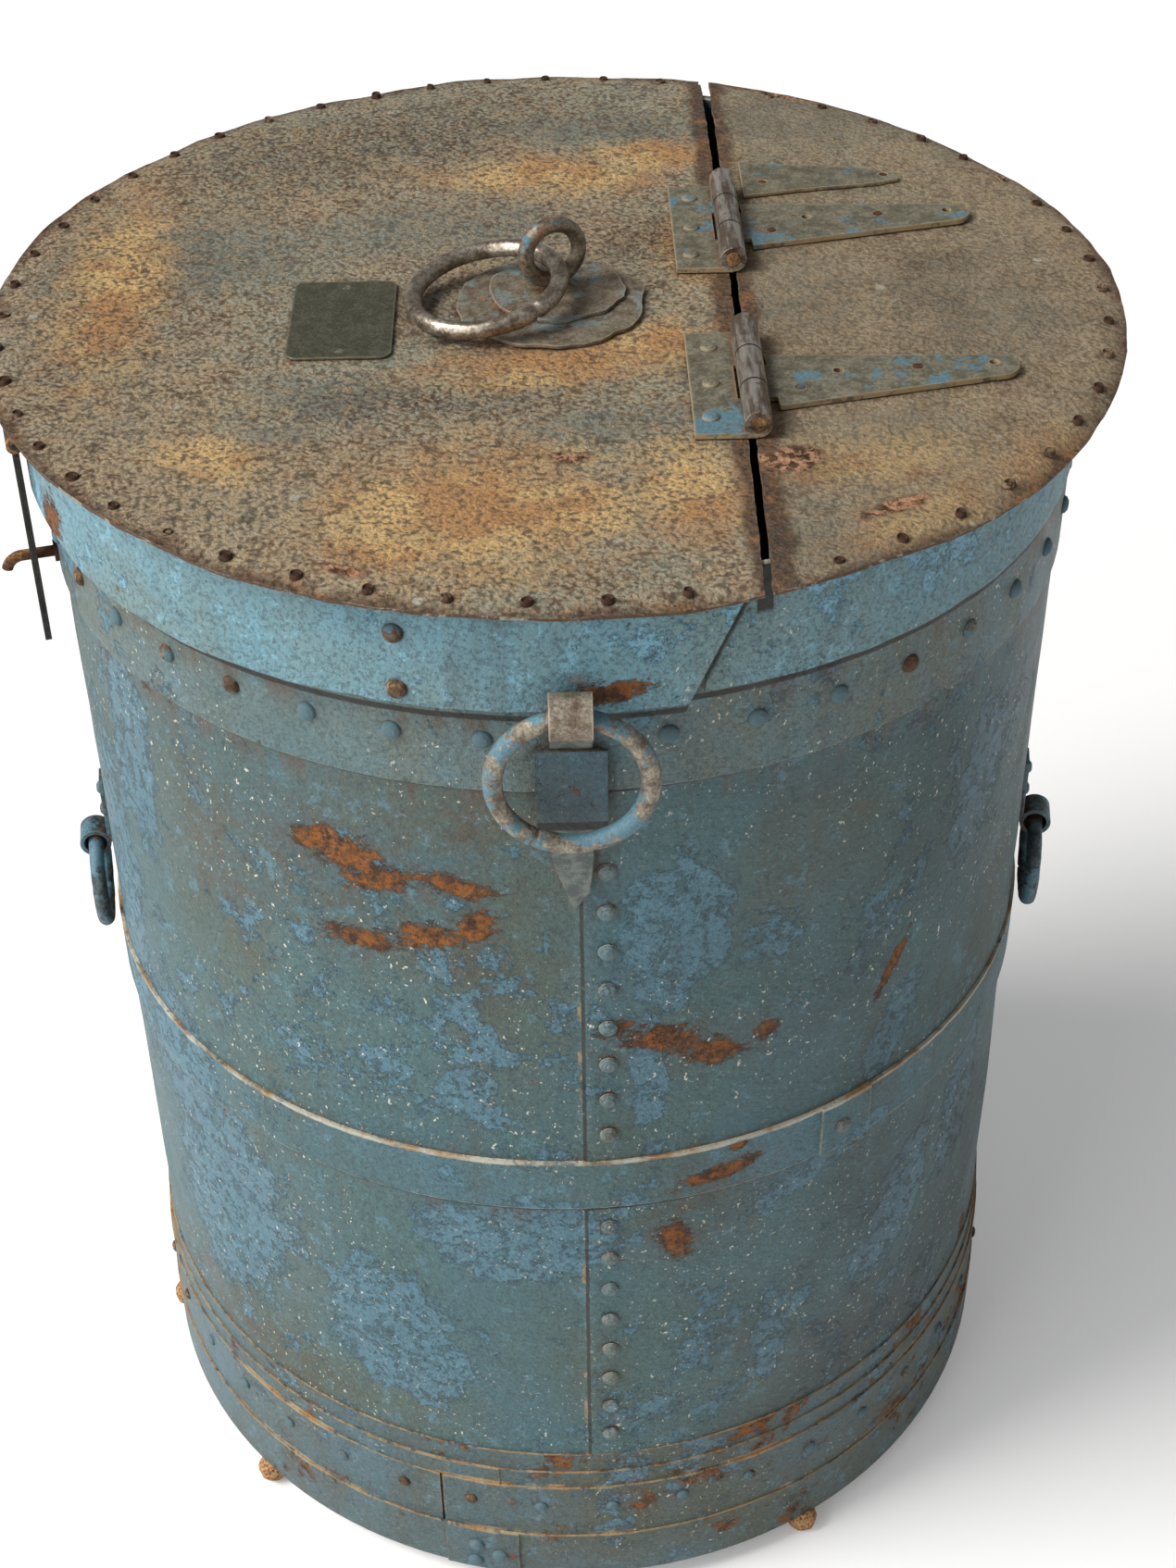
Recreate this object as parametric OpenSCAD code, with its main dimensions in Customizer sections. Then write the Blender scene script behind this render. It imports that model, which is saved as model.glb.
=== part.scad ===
// Riveted sheet-iron storage drum. Its flat lid is in two parts: the smaller one is fixed to the
// drum, and the larger one opens on two tee hinges. Millimetres, +Z up.
// The origin is on the floor, on the drum's own axis, and the front is towards -Y.
// Turns are degrees about that axis from the front, positive towards +X.

/* [Body] */
// Outer radius of the rolled body sheet
body_r = 275.4; // [230:0.1:330]
// Height from the body's lower edge to the top face of the lid
drum_h = 744; // [620:1:900]
// Thickness of the rolled body sheet
sheet_t = 1.6; // [1:0.1:3]
// How far the feet hold the body's lower edge off the floor
foot_h = 16; // [8:1:30]
// Diameter of a foot
foot_d = 20; // [12:1:30]
// Width of the front seam, where the sheet laps over itself
seam_w = 42; // [25:1:60]
// Height of the bottom plate above the body's lower edge
bottom_rise = 12; // [6:1:40]
// Thickness of the bottom plate
bottom_t = 2; // [1:0.1:4]

/* [Hoops] */
// Thickness of the upper band, which stiffens the mouth
band_t = 2; // [1:0.1:3]
// Depth of the upper band's lower edge below the lid's top face
band_drop = 117.6; // [100:0.1:140]
// Thickness of the middle hoop
hoop_t = 2; // [1:0.1:4]
// Height of the middle hoop
hoop_h = 36; // [20:1:60]
// Height of the middle hoop's lower edge above the body's lower edge
hoop_z = 336; // [250:1:400]
// How much further each base hoop stands out than the one above it
step_t = 1.2; // [0.6:0.1:3]
// Height of the lowest base hoop
bottom_hoop_h = 39; // [25:1:60]
// Height of the base band above it
base_band_h = 47; // [30:1:70]
// Height of the narrow step above that
base_step_h = 14; // [8:1:25]
// Height of the topmost bead of the base
base_bead_h = 16; // [8:1:25]
// Thickness of the lapped end of a hoop
lap_t = 1.2; // [0.8:0.1:2.5]

/* [Rivets] */
// Diameter of the body's rivet heads
rivet_d = 10; // [6:0.5:14]
// Height of the body's rivet heads
rivet_h = 3; // [1.5:0.1:5]
// Pitch of the rivets down the front seam
seam_pitch = 26.2; // [18:0.1:40]
// Angle between neighbouring rivets around a band
band_pitch = 9; // [6:1:15]
// Diameter of the lid rim's rivet heads
rim_rivet_d = 8; // [5:0.5:12]
// Height of the lid rim's rivet heads
rim_rivet_h = 1.6; // [1:0.1:3]
// Distance of the rim rivets inside the lid's edge
rim_inset = 10; // [7:0.5:18]
// Number of rivets in a full turn of the lid's rim
rim_count = 51; // [30:1:60]

/* [Lid] */
// How far the lid's edge stands out past the body sheet
lid_over = 24.6; // [18:0.1:35]
// Thickness of the lid plates
lid_t = 2; // [1.2:0.1:4]
// Clearance between the body's top edges and the lid plates
lid_gap = 0.3; // [0.2:0.1:1]
// Distance of the hinge axis from the drum's axis
hinge_x = 96; // [70:1:130]
// Depth of the skirts below the lid's top face
skirt_drop = 67.4; // [50:0.1:80]
// Thickness of the skirts
skirt_t = 1.2; // [0.8:0.1:2]
// Running space between the opening skirt and the upper band
skirt_gap = 6.6; // [6.6:0.1:10]
// Space between the two lid plates at the back, and how much wider it is at the front
seam_gap = 4; // [3:0.1:8]

/* [Hinges] */
// Place of the back hinge along the hinge axis
back_hinge_y = 70; // [65:1:100]
// Place of the front hinge along the hinge axis, towards the front
front_hinge_y = 105; // [65:1:125]
// Length of a hinge's knuckles together
knuckle_len = 102; // [80:1:110]
// Outer diameter of a knuckle
knuckle_d = 14; // [12:0.5:16]
// Diameter of a hinge pin
pin_d = 8; // [6:0.5:9]
// Radial running clearance around a pin
pin_gap = 0.05; // [0.02:0.01:0.1]
// Thickness of the hinge plates
plate_t = 3; // [2:0.1:4]
// Width of a hinge leaf from the hinge axis to its free edge
leaf_w = 30.5; // [22:0.5:40]
// Length of a hinge strap from the hinge axis to its tip
strap_len = 136; // [90:1:150]
// Width of a hinge strap at its root
strap_root_w = 52; // [36:1:60]
// Width of a hinge strap at its tip
strap_tip_w = 21; // [14:1:28]
// Diameter of the fastener holes in the straps
strap_hole_d = 5; // [3:0.5:7]

/* [Lid ring] */
// Diameter of the ring's wire
ring_wire = 10.5; // [8:0.5:12]
// Radius of the ring to the middle of its wire
ring_r = 39; // [34:0.5:50]
// Outer diameter of the eye that holds it
eye_d = 40; // [30:0.5:44]
// Diameter of the eye's wire
eye_wire = 9.4; // [6:0.1:10]
// How far the ring is turned towards the front from the hinge's square
ring_turn = 25; // [0:1:40]
// Radius of the lower washer
lower_washer_r = 50.8; // [40:0.1:60]
// Radius of the upper washer
upper_washer_r = 36.5; // [25:0.1:45]
// Thickness of each washer
washer_t = 2.2; // [1.5:0.1:4]

/* [Nameplate] */
// Width of the bare nameplate
plate_w = 54; // [40:1:70]
// Length of the bare nameplate
plate_l = 84; // [60:1:100]
// Thickness of the nameplate
plate_thick = 1.2; // [0.8:0.1:2]

/* [Front ring] */
// Diameter of the front ring's wire
front_wire = 10.5; // [8:0.5:12]
// Radius of the front ring to the middle of its wire
front_ring_r = 36.5; // [30:0.5:45]
// Width of the strap that holds the front ring
front_strap_w = 20; // [14:1:26]
// Thickness of the ring straps
ring_strap_t = 2.4; // [1.8:0.1:3.5]
// Height of the front strap's eye below the lid's top face
front_eye_drop = 57; // [50:0.5:60]
// Distance of the front strap's eye from the body sheet
front_eye_out = 23.6; // [22:0.1:26]

/* [Side rings] */
// Diameter of the side rings' wire
side_wire = 10; // [7:0.5:10]
// Radius of a side ring to the middle of its wire
side_ring_r = 28.5; // [24:0.5:36]
// Turn of the side rings from the front, one each way
side_turn = 82.5; // [60:0.5:90]
// Height of the side straps' eyes above the body's lower edge
side_eye_z = 410; // [400:1:460]
// Width of a side strap
side_strap_w = 16; // [12:1:22]

/* [Hasp] */
// Turn of the hasp from the front, towards -X
hasp_turn = 76; // [60:1:90]
// Width of the hasp
hasp_w = 26; // [20:1:34]
// Thickness of the hasp
hasp_t = 3.6; // [2:0.1:4]
// Length of the hasp from its pin to its longer tip
hasp_len = 125; // [110:1:140]
// Width of the slot in the hasp
slot_w = 9; // [8:0.5:11]
// Diameter of the staple's rod
staple_d = 6; // [4:0.5:6]
// Diameter of the hasp's pin
hasp_pin_d = 4; // [3:0.5:4.5]

/* [Hidden] */
$fn = 96;
EPS = 0.01;

// Radii, from the body sheet outwards
inner_r = body_r - sheet_t;
band_r = body_r + band_t;
hoop_r = body_r + hoop_t;
bead_r = body_r + step_t;
base_step_r = bead_r + step_t;
base_band_r = base_step_r + step_t;
bottom_hoop_r = base_band_r + step_t;
lid_r = body_r + lid_over;
open_skirt_r = band_r + skirt_gap;
fixed_skirt_r = band_r + 0.1;
rim_rivet_r = lid_r - rim_inset;

// Heights above the floor
body_z = foot_h;
lid_z = foot_h + drum_h;
lid_under = lid_z - lid_t;
rim_z = lid_under - lid_gap;
band_z = lid_z - band_drop;
skirt_z = lid_z - skirt_drop;
hoop_low = body_z + hoop_z;
hoop_top = hoop_low + hoop_h;
base_band_z = body_z + bottom_hoop_h;
base_step_z = base_band_z + base_band_h;
base_bead_z = base_step_z + base_step_h;
base_top = base_bead_z + base_bead_h;
bottom_z = body_z + bottom_rise;
band_rivet_z = skirt_z - 2 * rivet_d;
base_rivet_z = base_step_z - 1.8 * rivet_d;

// The front seam starts just right of the front, and its rivets run down its middle.
seam_turn = 1.4;
seam_span = deg(seam_w, body_r);
seam_rivet_turn = seam_turn + deg(12, body_r);

// The joint between the lid plates follows the hinge axis and opens out towards the front.
joint_right = hinge_x + 1.5;
joint_left = joint_right - seam_gap;
joint_skew = 5;
notch_w = 6;
notch_l = 34;

// Hinge heights, and the straps' small turn towards the back
axis_z = lid_z + knuckle_d / 2 + 0.4;
strap_turn = 5.4;
knuckle_gap = 0.5;
strap_clear = knuckle_d / 2 + 1;
leaf_rivets = [[-35, 22], [-2, 20], [35, 19]];
// Holes in a hinge strap, from the axis along it and across it; NAILED lists the ones that still
// hold a rivet.
STRAP_HOLES = [[23, -9], [45, 5], [85, 3.5], [124, 3]];
NAILED = [0, 2];

// The lid ring lies against the lid and hangs in the eye by its wire.
eye_y = -2;
eye_x = -1;
washer_top = lid_z + 2 * washer_t;
eye_z = washer_top + eye_d / 2;
eye_hole_r = eye_d / 2 - eye_wire;
ring_pivot_z = eye_z - eye_hole_r + ring_wire / 2 + 0.35;
ring_tilt = asin((ring_pivot_z - lid_z - ring_wire / 2 - 0.3) / (2 * ring_r));

// Nameplate place
nameplate_x = -111;
nameplate_y = -27;
nameplate_round = 6;

// Front ring: its strap's eye stands clear of the opening skirt, and the strap bends in to the
// band below that skirt's edge.
front_x = 2.5;
front_eye_z = lid_z - front_eye_drop;
front_bend_z = skirt_z - 4.6;
front_bend_h = 18;
front_eye_r = body_r + front_eye_out;
front_sag = 1.2;
front_hole_r = bore_for(front_ring_r, front_wire, front_strap_w) + front_sag;
front_plate_w = 34;
front_plate_t = 2.2;
front_plate_top = front_bend_z - front_bend_h;
front_plate_low = front_plate_top - 47;
front_tongue_low = front_plate_low - 53;

// Side rings: their straps' eyes stand clear of the middle hoop.
side_eye_z0 = body_z + side_eye_z;
side_hole_r = bore_for(side_ring_r, side_wire, side_strap_w);
side_eye_r = body_r + side_hole_r + ring_strap_t + 0.8;
side_tail = 44;

// Hasp: a flat strap hung from a small hinge plate on the opening skirt
hasp_pin_z = lid_z - 39;
hasp_knuckle_r = hasp_pin_d / 2 + 2.2;
hasp_r = open_skirt_r + skirt_t + hasp_knuckle_r + 0.8;
hasp_slot_top = 60;
staple_z = hasp_pin_z - 72.5;
staple_out = hasp_r + 6;
staple_bend = 9;
staple_turn = 75;

FEET = [-82, -47, -8, 31, 125, -150];

// ---------- helpers ----------

function deg(arc, r) = arc / r * 180 / PI;

// Radius of the smallest eye of width w that a ring of radius r in this wire can swing in
function bore_for(r, wire, w) = wire / 2 / cos(asin(w / 2 / r)) + r - sqrt(r * r - w * w / 4) + 0.5;

// Places something made at the front so that it sits at a turn from there.
module at_turn(turn) rotate([0, 0, turn]) children();

// A closed ring wall
module ring_wall(r_in, t, z, h) translate([0, 0, z]) difference() {
    cylinder(r = r_in + t, h = h);
    translate([0, 0, -1]) cylinder(r = r_in, h = h + 2);
}

// Part of a ring wall, from one turn on over a span of degrees
module arc_wall(r_in, t, z, h, from, span)
    rotate([0, 0, from - 90]) rotate_extrude(angle = span) translate([r_in, z]) square([t, h]);

// Domed rivet head standing on the plane z = 0
module head(d, h) rotate_extrude() polygon([
    [0, 0], [d / 2, 0], [d * 0.44, h * 0.5], [d * 0.26, h * 0.9], [0, h]
]);

// Rivet head on an upright wall of radius r
module wall_head(r, z, turn, d = rivet_d, h = rivet_h)
    at_turn(turn) translate([0, -r, z]) rotate([90, 0, 0]) head(d, h);

// Round wire bent to a ring about the Y axis
module wire_ring(r, wire) rotate([90, 0, 0]) rotate_extrude() translate([r, 0]) circle(d = wire);

// Upright wedge of space left of the lid joint, as seen from above
module left_of_joint(z, h, extra = 0) translate([0, 0, z]) linear_extrude(h) polygon([
    [-lid_r - 10, -lid_r - 10], [joint_left - joint_skew - extra, -lid_r - 10],
    [joint_left - extra, 0], [joint_left - extra, lid_r - notch_l],
    [joint_left - notch_w - extra, lid_r + 10], [-lid_r - 10, lid_r + 10]
]);

// The same on its right
module right_of_joint(z, h) translate([0, 0, z]) linear_extrude(h) polygon([
    [lid_r + 10, -lid_r - 10], [joint_right - joint_skew, -lid_r - 10], [joint_right, 0],
    [joint_right + 1, lid_r - notch_l], [joint_right + notch_w, lid_r + 10],
    [lid_r + 10, lid_r + 10]
]);

// ---------- drum body ----------

module body_shell() color("steelblue") union() {
    ring_wall(inner_r, sheet_t, body_z, rim_z - body_z);
    arc_wall(body_r, lap_t, base_top, hoop_low - base_top, seam_turn, seam_span);
    arc_wall(body_r, lap_t, hoop_top, band_z - hoop_top, seam_turn, seam_span);
}

module bottom_plate() color("saddlebrown")
    translate([0, 0, bottom_z]) cylinder(r = inner_r - 0.1, h = bottom_t);

module upper_band() color("cadetblue") ring_wall(body_r, band_t, band_z, rim_z - band_z);

module mid_hoop() color("cadetblue") union() {
    ring_wall(body_r, hoop_t, hoop_low, hoop_h);
    arc_wall(hoop_r, lap_t, hoop_low, hoop_h, 29.5, 7);
}

module base_bead() color("cadetblue") ring_wall(body_r, step_t, base_bead_z, base_bead_h);

module base_step() color("cadetblue") union() {
    ring_wall(body_r, 2 * step_t, base_step_z, base_step_h);
    arc_wall(base_step_r, step_t / 2, base_step_z, base_step_h, -28, 17.8);
}

module base_band() color("steelblue") difference() {
    ring_wall(body_r, 3 * step_t, base_band_z, base_band_h);
    arc_wall(body_r + step_t, 4 * step_t, base_band_z - 1, base_band_h + 2, -18, 0.35);
}

module bottom_hoop() color("cadetblue") union() {
    ring_wall(body_r, 4 * step_t, body_z, bottom_hoop_h);
    arc_wall(bottom_hoop_r, lap_t, body_z, bottom_hoop_h, -17.5, 9.5);
}

// Low round studs under the hoop; the set is uneven, and one place at the right is empty.
module feet() color("peru") for (turn = FEET) at_turn(turn)
    translate([0, -body_r, 0]) rotate_extrude() polygon([
        [0, 0], [foot_d * 0.25, 0], [foot_d * 0.42, foot_h * 0.14], [foot_d / 2, foot_h * 0.4],
        [foot_d / 2, foot_h], [0, foot_h]
    ]);

// ---------- body rivets ----------

module seam_row(z_low, z_high)
    for (z = [z_low + 20 : seam_pitch : z_high - rivet_d])
        wall_head(body_r + lap_t, z, seam_rivet_turn);

module seam_rivets() color("slategray") {
    seam_row(base_top, hoop_low);
    seam_row(hoop_top, front_plate_low);
}

// Every place but the one behind the front strap
module band_rivets() color("sienna")
    for (i = [1 : 360 / band_pitch - 1]) wall_head(band_r, band_rivet_z, 1 + i * band_pitch);

module hoop_rivets() color("slategray")
    wall_head(hoop_r + lap_t, hoop_low + hoop_h * 0.45, 32.5);

module base_rivets() color("sienna") {
    for (i = [0 : 360 / band_pitch - 1])
        wall_head(base_band_r, base_rivet_z, 4 + i * band_pitch, rivet_d * 0.8, rivet_h * 0.7);
    for (p = [[-13.5, 0.62], [-13.7, 0.2], [-10.5, 0.42]])
        wall_head(bottom_hoop_r + lap_t, body_z + bottom_hoop_h * p[1], p[0]);
}

// ---------- rings and their straps ----------

// Outline, in the radial plane, of a strap that runs up the wall, bends out below bend_z and goes
// round a ring's wire
module strap_outline(eye_r, eye_z, bend_z, hole_r, wall_r, low_z) {
    t = ring_strap_t;
    back = eye_r - hole_r - t;
    difference() {
        union() {
            translate([eye_r, eye_z]) circle(r = hole_r + t);
            polygon([
                [wall_r, low_z], [wall_r + t, low_z], [wall_r + t, bend_z - front_bend_h],
                [back + t, bend_z], [back + t, eye_z], [back, eye_z],
                [back, bend_z + 1], [wall_r, bend_z + 1 - front_bend_h]
            ]);
        }
        translate([eye_r, eye_z]) circle(r = hole_r);
    }
}

module front_strap() color("darkgoldenrod") intersection() {
    translate([front_x + front_strap_w / 2, 0, 0]) rotate([90, 0, -90])
        linear_extrude(front_strap_w)
            strap_outline(
                front_eye_r, front_eye_z, front_bend_z, front_hole_r, band_r + 0.2, front_tongue_low
            );
    translate([front_x, 0, 0]) rotate([90, 0, 0]) linear_extrude(body_r * 2) polygon([
        [-front_strap_w / 2, front_tongue_low + 32], [0, front_tongue_low],
        [front_strap_w * 0.4, front_tongue_low + 12], [front_strap_w / 2, front_tongue_low + 32],
        [front_strap_w / 2, lid_z], [-front_strap_w / 2, lid_z]
    ]);
}

// Clip that holds the strap's fold against the band
module front_strap_plate() color("steelblue")
    translate([front_x - front_plate_w / 2, -band_r - 0.2 - ring_strap_t - front_plate_t, 0])
        translate([0, 0, front_plate_low])
            cube([front_plate_w, front_plate_t, front_plate_top - front_plate_low]);

module front_ring() color("slategray")
    translate([front_x, -front_eye_r, front_eye_z - front_sag - front_ring_r])
        wire_ring(front_ring_r, front_wire);

module side_strap(turn) color("darkslategray") at_turn(turn)
    translate([side_strap_w / 2, 0, 0]) rotate([90, 0, -90]) linear_extrude(side_strap_w) {
        t = ring_strap_t;
        difference() {
            union() {
                translate([side_eye_r, side_eye_z0]) circle(r = side_hole_r + t);
                translate([body_r + 0.2, side_eye_z0]) square([t, side_tail]);
            }
            translate([side_eye_r, side_eye_z0]) circle(r = side_hole_r);
        }
    }

module side_strap_rivets(turn) color("slategray") for (up = [20, 36])
    wall_head(body_r + 0.2 + ring_strap_t, side_eye_z0 + up, turn, 8, 2.4);

module side_ring(turn) color("slategray") at_turn(turn)
    translate([0, -side_eye_r, side_eye_z0 - side_ring_r]) wire_ring(side_ring_r, side_wire);

module left_strap() side_strap(-side_turn);
module left_strap_rivets() side_strap_rivets(-side_turn);
module left_ring() side_ring(-side_turn);
module right_strap() side_strap(side_turn);
module right_strap_rivets() side_strap_rivets(side_turn);
module right_ring() side_ring(side_turn);

// ---------- fixed part of the lid ----------

module fixed_lid() color("dimgray") intersection() {
    translate([0, 0, lid_under]) cylinder(r = lid_r, h = lid_t);
    right_of_joint(lid_under - 1, lid_t + 2);
}

// Skirt with an outward flange under the plate; its ends pass behind the opening skirt's.
module fixed_skirt() color("steelblue") union() {
    wall_t = skirt_t / 2;
    intersection() {
        ring_wall(fixed_skirt_r, skirt_t, skirt_z, lid_under - skirt_z);
        translate([hinge_x - 34, -lid_r, skirt_z - 1]) cube([lid_r, 2 * lid_r, lid_z - skirt_z]);
    }
    intersection() {
        ring_wall(fixed_skirt_r + wall_t, lid_r - fixed_skirt_r - wall_t - 3,
            lid_under - skirt_t, skirt_t);
        translate([hinge_x + 1, -lid_r, skirt_z - 1]) cube([lid_r, 2 * lid_r, lid_z - skirt_z]);
    }
    arc_wall(fixed_skirt_r + wall_t, wall_t + skirt_t, skirt_z, lid_under - skirt_z, 75, 8);
}

module rim_rivets(turns) for (turn = turns) at_turn(turn)
    translate([0, -rim_rivet_r, lid_z]) head(rim_rivet_d, rim_rivet_h);

function opens(turn) = rim_rivet_r * sin(turn) < joint_left - joint_skew - rim_rivet_d;
function stays(turn) = rim_rivet_r * sin(turn) > joint_right + rim_rivet_d;
RIM_TURNS = [for (i = [0 : rim_count - 1]) i * 360 / rim_count - 3];

module fixed_rim_rivets() color("sienna") rim_rivets([for (t = RIM_TURNS) if (stays(t)) t]);

module fixed_skirt_rivets() color("slategray") for (down = [18, 52])
    wall_head(fixed_skirt_r + 2 * skirt_t, lid_z - down, 79, 8, 2.4);

// ---------- hinges ----------

// One third of the barrel, with its bore; slot is 0, 1 or 2 from the front
module knuckle(slot) {
    len = knuckle_len / 3 - knuckle_gap;
    rotate([-90, 0, 0]) translate([0, 0, -knuckle_len / 2 + slot * knuckle_len / 3 + knuckle_gap / 2])
        difference() {
            cylinder(d = knuckle_d, h = len);
            translate([0, 0, -1]) cylinder(d = pin_d + 2 * pin_gap, h = len + 2);
        }
}

// Plate that joins the middle knuckle to the strap, and the strap itself
module strap_plate() translate([0, 0, lid_z - axis_z]) linear_extrude(plate_t) difference() {
    union() {
        polygon([[strap_clear, -knuckle_len / 6 + 1], [strap_clear, knuckle_len / 6 - 1],
                 [0, knuckle_len / 6 - knuckle_gap], [0, -knuckle_len / 6 + knuckle_gap]]);
        rotate(strap_turn) polygon([
            [strap_clear + 2.6, -strap_root_w / 2], [strap_len - strap_tip_w / 2, -strap_tip_w / 2],
            [strap_len - strap_tip_w / 2, strap_tip_w / 2], [strap_clear + 2.6, strap_root_w / 2]
        ]);
        rotate(strap_turn) translate([strap_len - strap_tip_w / 2, 0]) circle(d = strap_tip_w);
        polygon([[strap_clear - 1, -knuckle_len / 6 + 1], [strap_clear + 8, -knuckle_len / 6 + 1],
                 [strap_clear + 8, knuckle_len / 6 - 1], [strap_clear - 1, knuckle_len / 6 - 1]]);
    }
    rotate(strap_turn) for (p = STRAP_HOLES) translate(p) circle(d = strap_hole_d);
}

module hinge_strap(y) color("slategray") translate([hinge_x, y, axis_z]) union() {
    difference() {
        strap_plate();
        rotate([-90, 0, 0]) cylinder(d = knuckle_d - 2, h = knuckle_len, center = true);
    }
    knuckle(1);
}

module leaf_plate() translate([-leaf_w, -knuckle_len / 2, lid_z - axis_z])
    cube([leaf_w, knuckle_len, plate_t]);

module hinge_leaf(y) color("slategray") translate([hinge_x, y, axis_z]) union() {
    difference() {
        leaf_plate();
        rotate([-90, 0, 0]) cylinder(d = knuckle_d - 2, h = knuckle_len + 2, center = true);
        translate([-knuckle_d / 2 - 0.7, -knuckle_len / 6, -knuckle_d])
            cube([knuckle_d, knuckle_len / 3, 2 * knuckle_d]);
        translate([-EPS, -knuckle_len, -knuckle_d]) cube([knuckle_d, 2 * knuckle_len, knuckle_d]);
    }
    knuckle(0);
    knuckle(2);
}

module hinge_pin(y) color("darkgoldenrod") translate([hinge_x, y, axis_z])
    rotate([90, 0, 0]) cylinder(d = pin_d, h = knuckle_len, center = true);

module back_hinge_strap() hinge_strap(back_hinge_y);
module front_hinge_strap() hinge_strap(-front_hinge_y);
module back_hinge_leaf() hinge_leaf(back_hinge_y);
module front_hinge_leaf() hinge_leaf(-front_hinge_y);
module back_hinge_pin() hinge_pin(back_hinge_y);
module front_hinge_pin() hinge_pin(-front_hinge_y);

// Flat-topped rivets that fill their holes in the straps
module strap_rivets() color("saddlebrown") for (y = [back_hinge_y, -front_hinge_y], i = NAILED)
    translate([hinge_x, y, lid_z]) rotate(strap_turn) translate(STRAP_HOLES[i])
        cylinder(d = strap_hole_d - 0.1, h = plate_t + 0.4);

module leaf_rivets() color("slategray") for (y = [back_hinge_y, -front_hinge_y], p = leaf_rivets)
    translate([hinge_x - p[1], y + p[0], lid_z + plate_t]) head(9, 2);

// Torn remains of an earlier strap, left beside the back hinge
old_holes = [[12, -5], [82, 2]];
module old_strap() color("slategray") translate([hinge_x + 12, back_hinge_y + 63, lid_z])
    linear_extrude(plate_t - 1) difference() {
        polygon([[0, -23], [0, 22], [24, 18], [72, 11], [88, 3], [90, -4], [78, -9], [30, -16]]);
        for (p = old_holes) translate(p) circle(d = strap_hole_d);
    }

module old_strap_rivets() color("saddlebrown") for (p = old_holes)
    translate([hinge_x + 12 + p[0], back_hinge_y + 63 + p[1], lid_z])
        cylinder(d = strap_hole_d - 0.1, h = plate_t - 1.4);

// ---------- opening part of the lid ----------

module lid_flap() color("dimgray") intersection() {
    translate([0, 0, lid_under]) cylinder(r = lid_r, h = lid_t);
    left_of_joint(lid_under - 1, lid_t + 2);
}

// Skirt with its flange. Both ends are cut back on a slant, so that they swing clear.
module flap_skirt() color("steelblue") intersection() {
    union() {
        ring_wall(open_skirt_r, skirt_t, skirt_z, lid_under - skirt_z);
        ring_wall(open_skirt_r, lid_r - open_skirt_r - 3, lid_under - skirt_t, skirt_t);
        arc_wall(open_skirt_r + skirt_t, skirt_t / 2, skirt_z, lid_under - skirt_z, -18.7, 6.5);
    }
    translate([0, lid_r, 0]) rotate([90, 0, 0]) linear_extrude(2 * lid_r) polygon([
        [-lid_r, skirt_z - 1], [hinge_x - 39, skirt_z - 1], [hinge_x - 9, lid_under + 1],
        [-lid_r, lid_under + 1]
    ]);
}

module flap_rim_rivets() color("sienna") rim_rivets([for (t = RIM_TURNS) if (opens(t)) t]);

module flap_skirt_rivets() color("sienna") for (down = [26, 57])
    wall_head(open_skirt_r + skirt_t * 1.5, lid_z - down, -15.5);

// ---------- lid ring ----------

module lower_washer() color("slategray") translate([-2, -13, lid_z])
    cylinder(r = lower_washer_r, h = washer_t);

module upper_washer() color("slategray") translate([1, -3, lid_z + washer_t])
    cylinder(r = upper_washer_r, h = washer_t);

module lid_eye() color("slategray") translate([eye_x, eye_y, eye_z]) rotate([0, 0, ring_turn])
    wire_ring((eye_d - eye_wire) / 2, eye_wire);

module lid_ring() color("silver") translate([eye_x, eye_y, ring_pivot_z])
    rotate([0, -ring_tilt, ring_turn]) translate([-ring_r, 0, 0]) rotate([90, 0, 0])
        wire_ring(ring_r, ring_wire);

// ---------- nameplate ----------

module nameplate() color("darkolivegreen") translate([nameplate_x, nameplate_y, lid_z])
    difference() {
        linear_extrude(plate_thick) union() {
            square([plate_w - 2 * nameplate_round, plate_l], center = true);
            square([plate_w, plate_l - 2 * nameplate_round], center = true);
            for (sx = [-1, 1], sy = [-1, 1])
                translate([sx * (plate_w / 2 - nameplate_round), sy * (plate_l / 2 - nameplate_round)])
                    circle(r = nameplate_round);
        }
        for (s = [-1, 1]) translate([0, s * (plate_l / 2 - 7), -1]) cylinder(d = 4, h = plate_thick + 2);
    }

module nameplate_rivet() color("silver") for (s = [-1, 1])
    translate([nameplate_x, nameplate_y + s * (plate_l / 2 - 7), lid_z])
        cylinder(d = 3.8, h = plate_thick - 0.3);

// ---------- hasp ----------

// One of the hasp hinge's three knuckles, along the wall; slot is -1, 0 or 1
module hasp_knuckle(slot, bore) {
    len = hasp_w / 3 - 0.3;
    translate([slot * hasp_w / 3 - len / 2, -hasp_r, hasp_pin_z]) rotate([0, 90, 0]) difference() {
        cylinder(r = hasp_knuckle_r, h = len);
        translate([0, 0, -1]) cylinder(d = bore, h = len + 2);
    }
}

// Plate on the skirt, and the two outer knuckles
module hasp_plate() color("sienna") at_turn(-hasp_turn) union() {
    difference() {
        translate([-hasp_w / 2, -open_skirt_r - skirt_t - 0.3 - 2, hasp_pin_z - 1])
            cube([hasp_w, 2, 27]);
        translate([-hasp_w / 6, -hasp_r - 10, hasp_pin_z - 10]) cube([hasp_w / 3, 20, 15]);
        translate([-hasp_w, -hasp_r, hasp_pin_z]) rotate([0, 90, 0])
            cylinder(r = hasp_knuckle_r - 1, h = 2 * hasp_w);
    }
    for (s = [-1, 1]) hasp_knuckle(s, hasp_pin_d + 2 * pin_gap);
}

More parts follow.
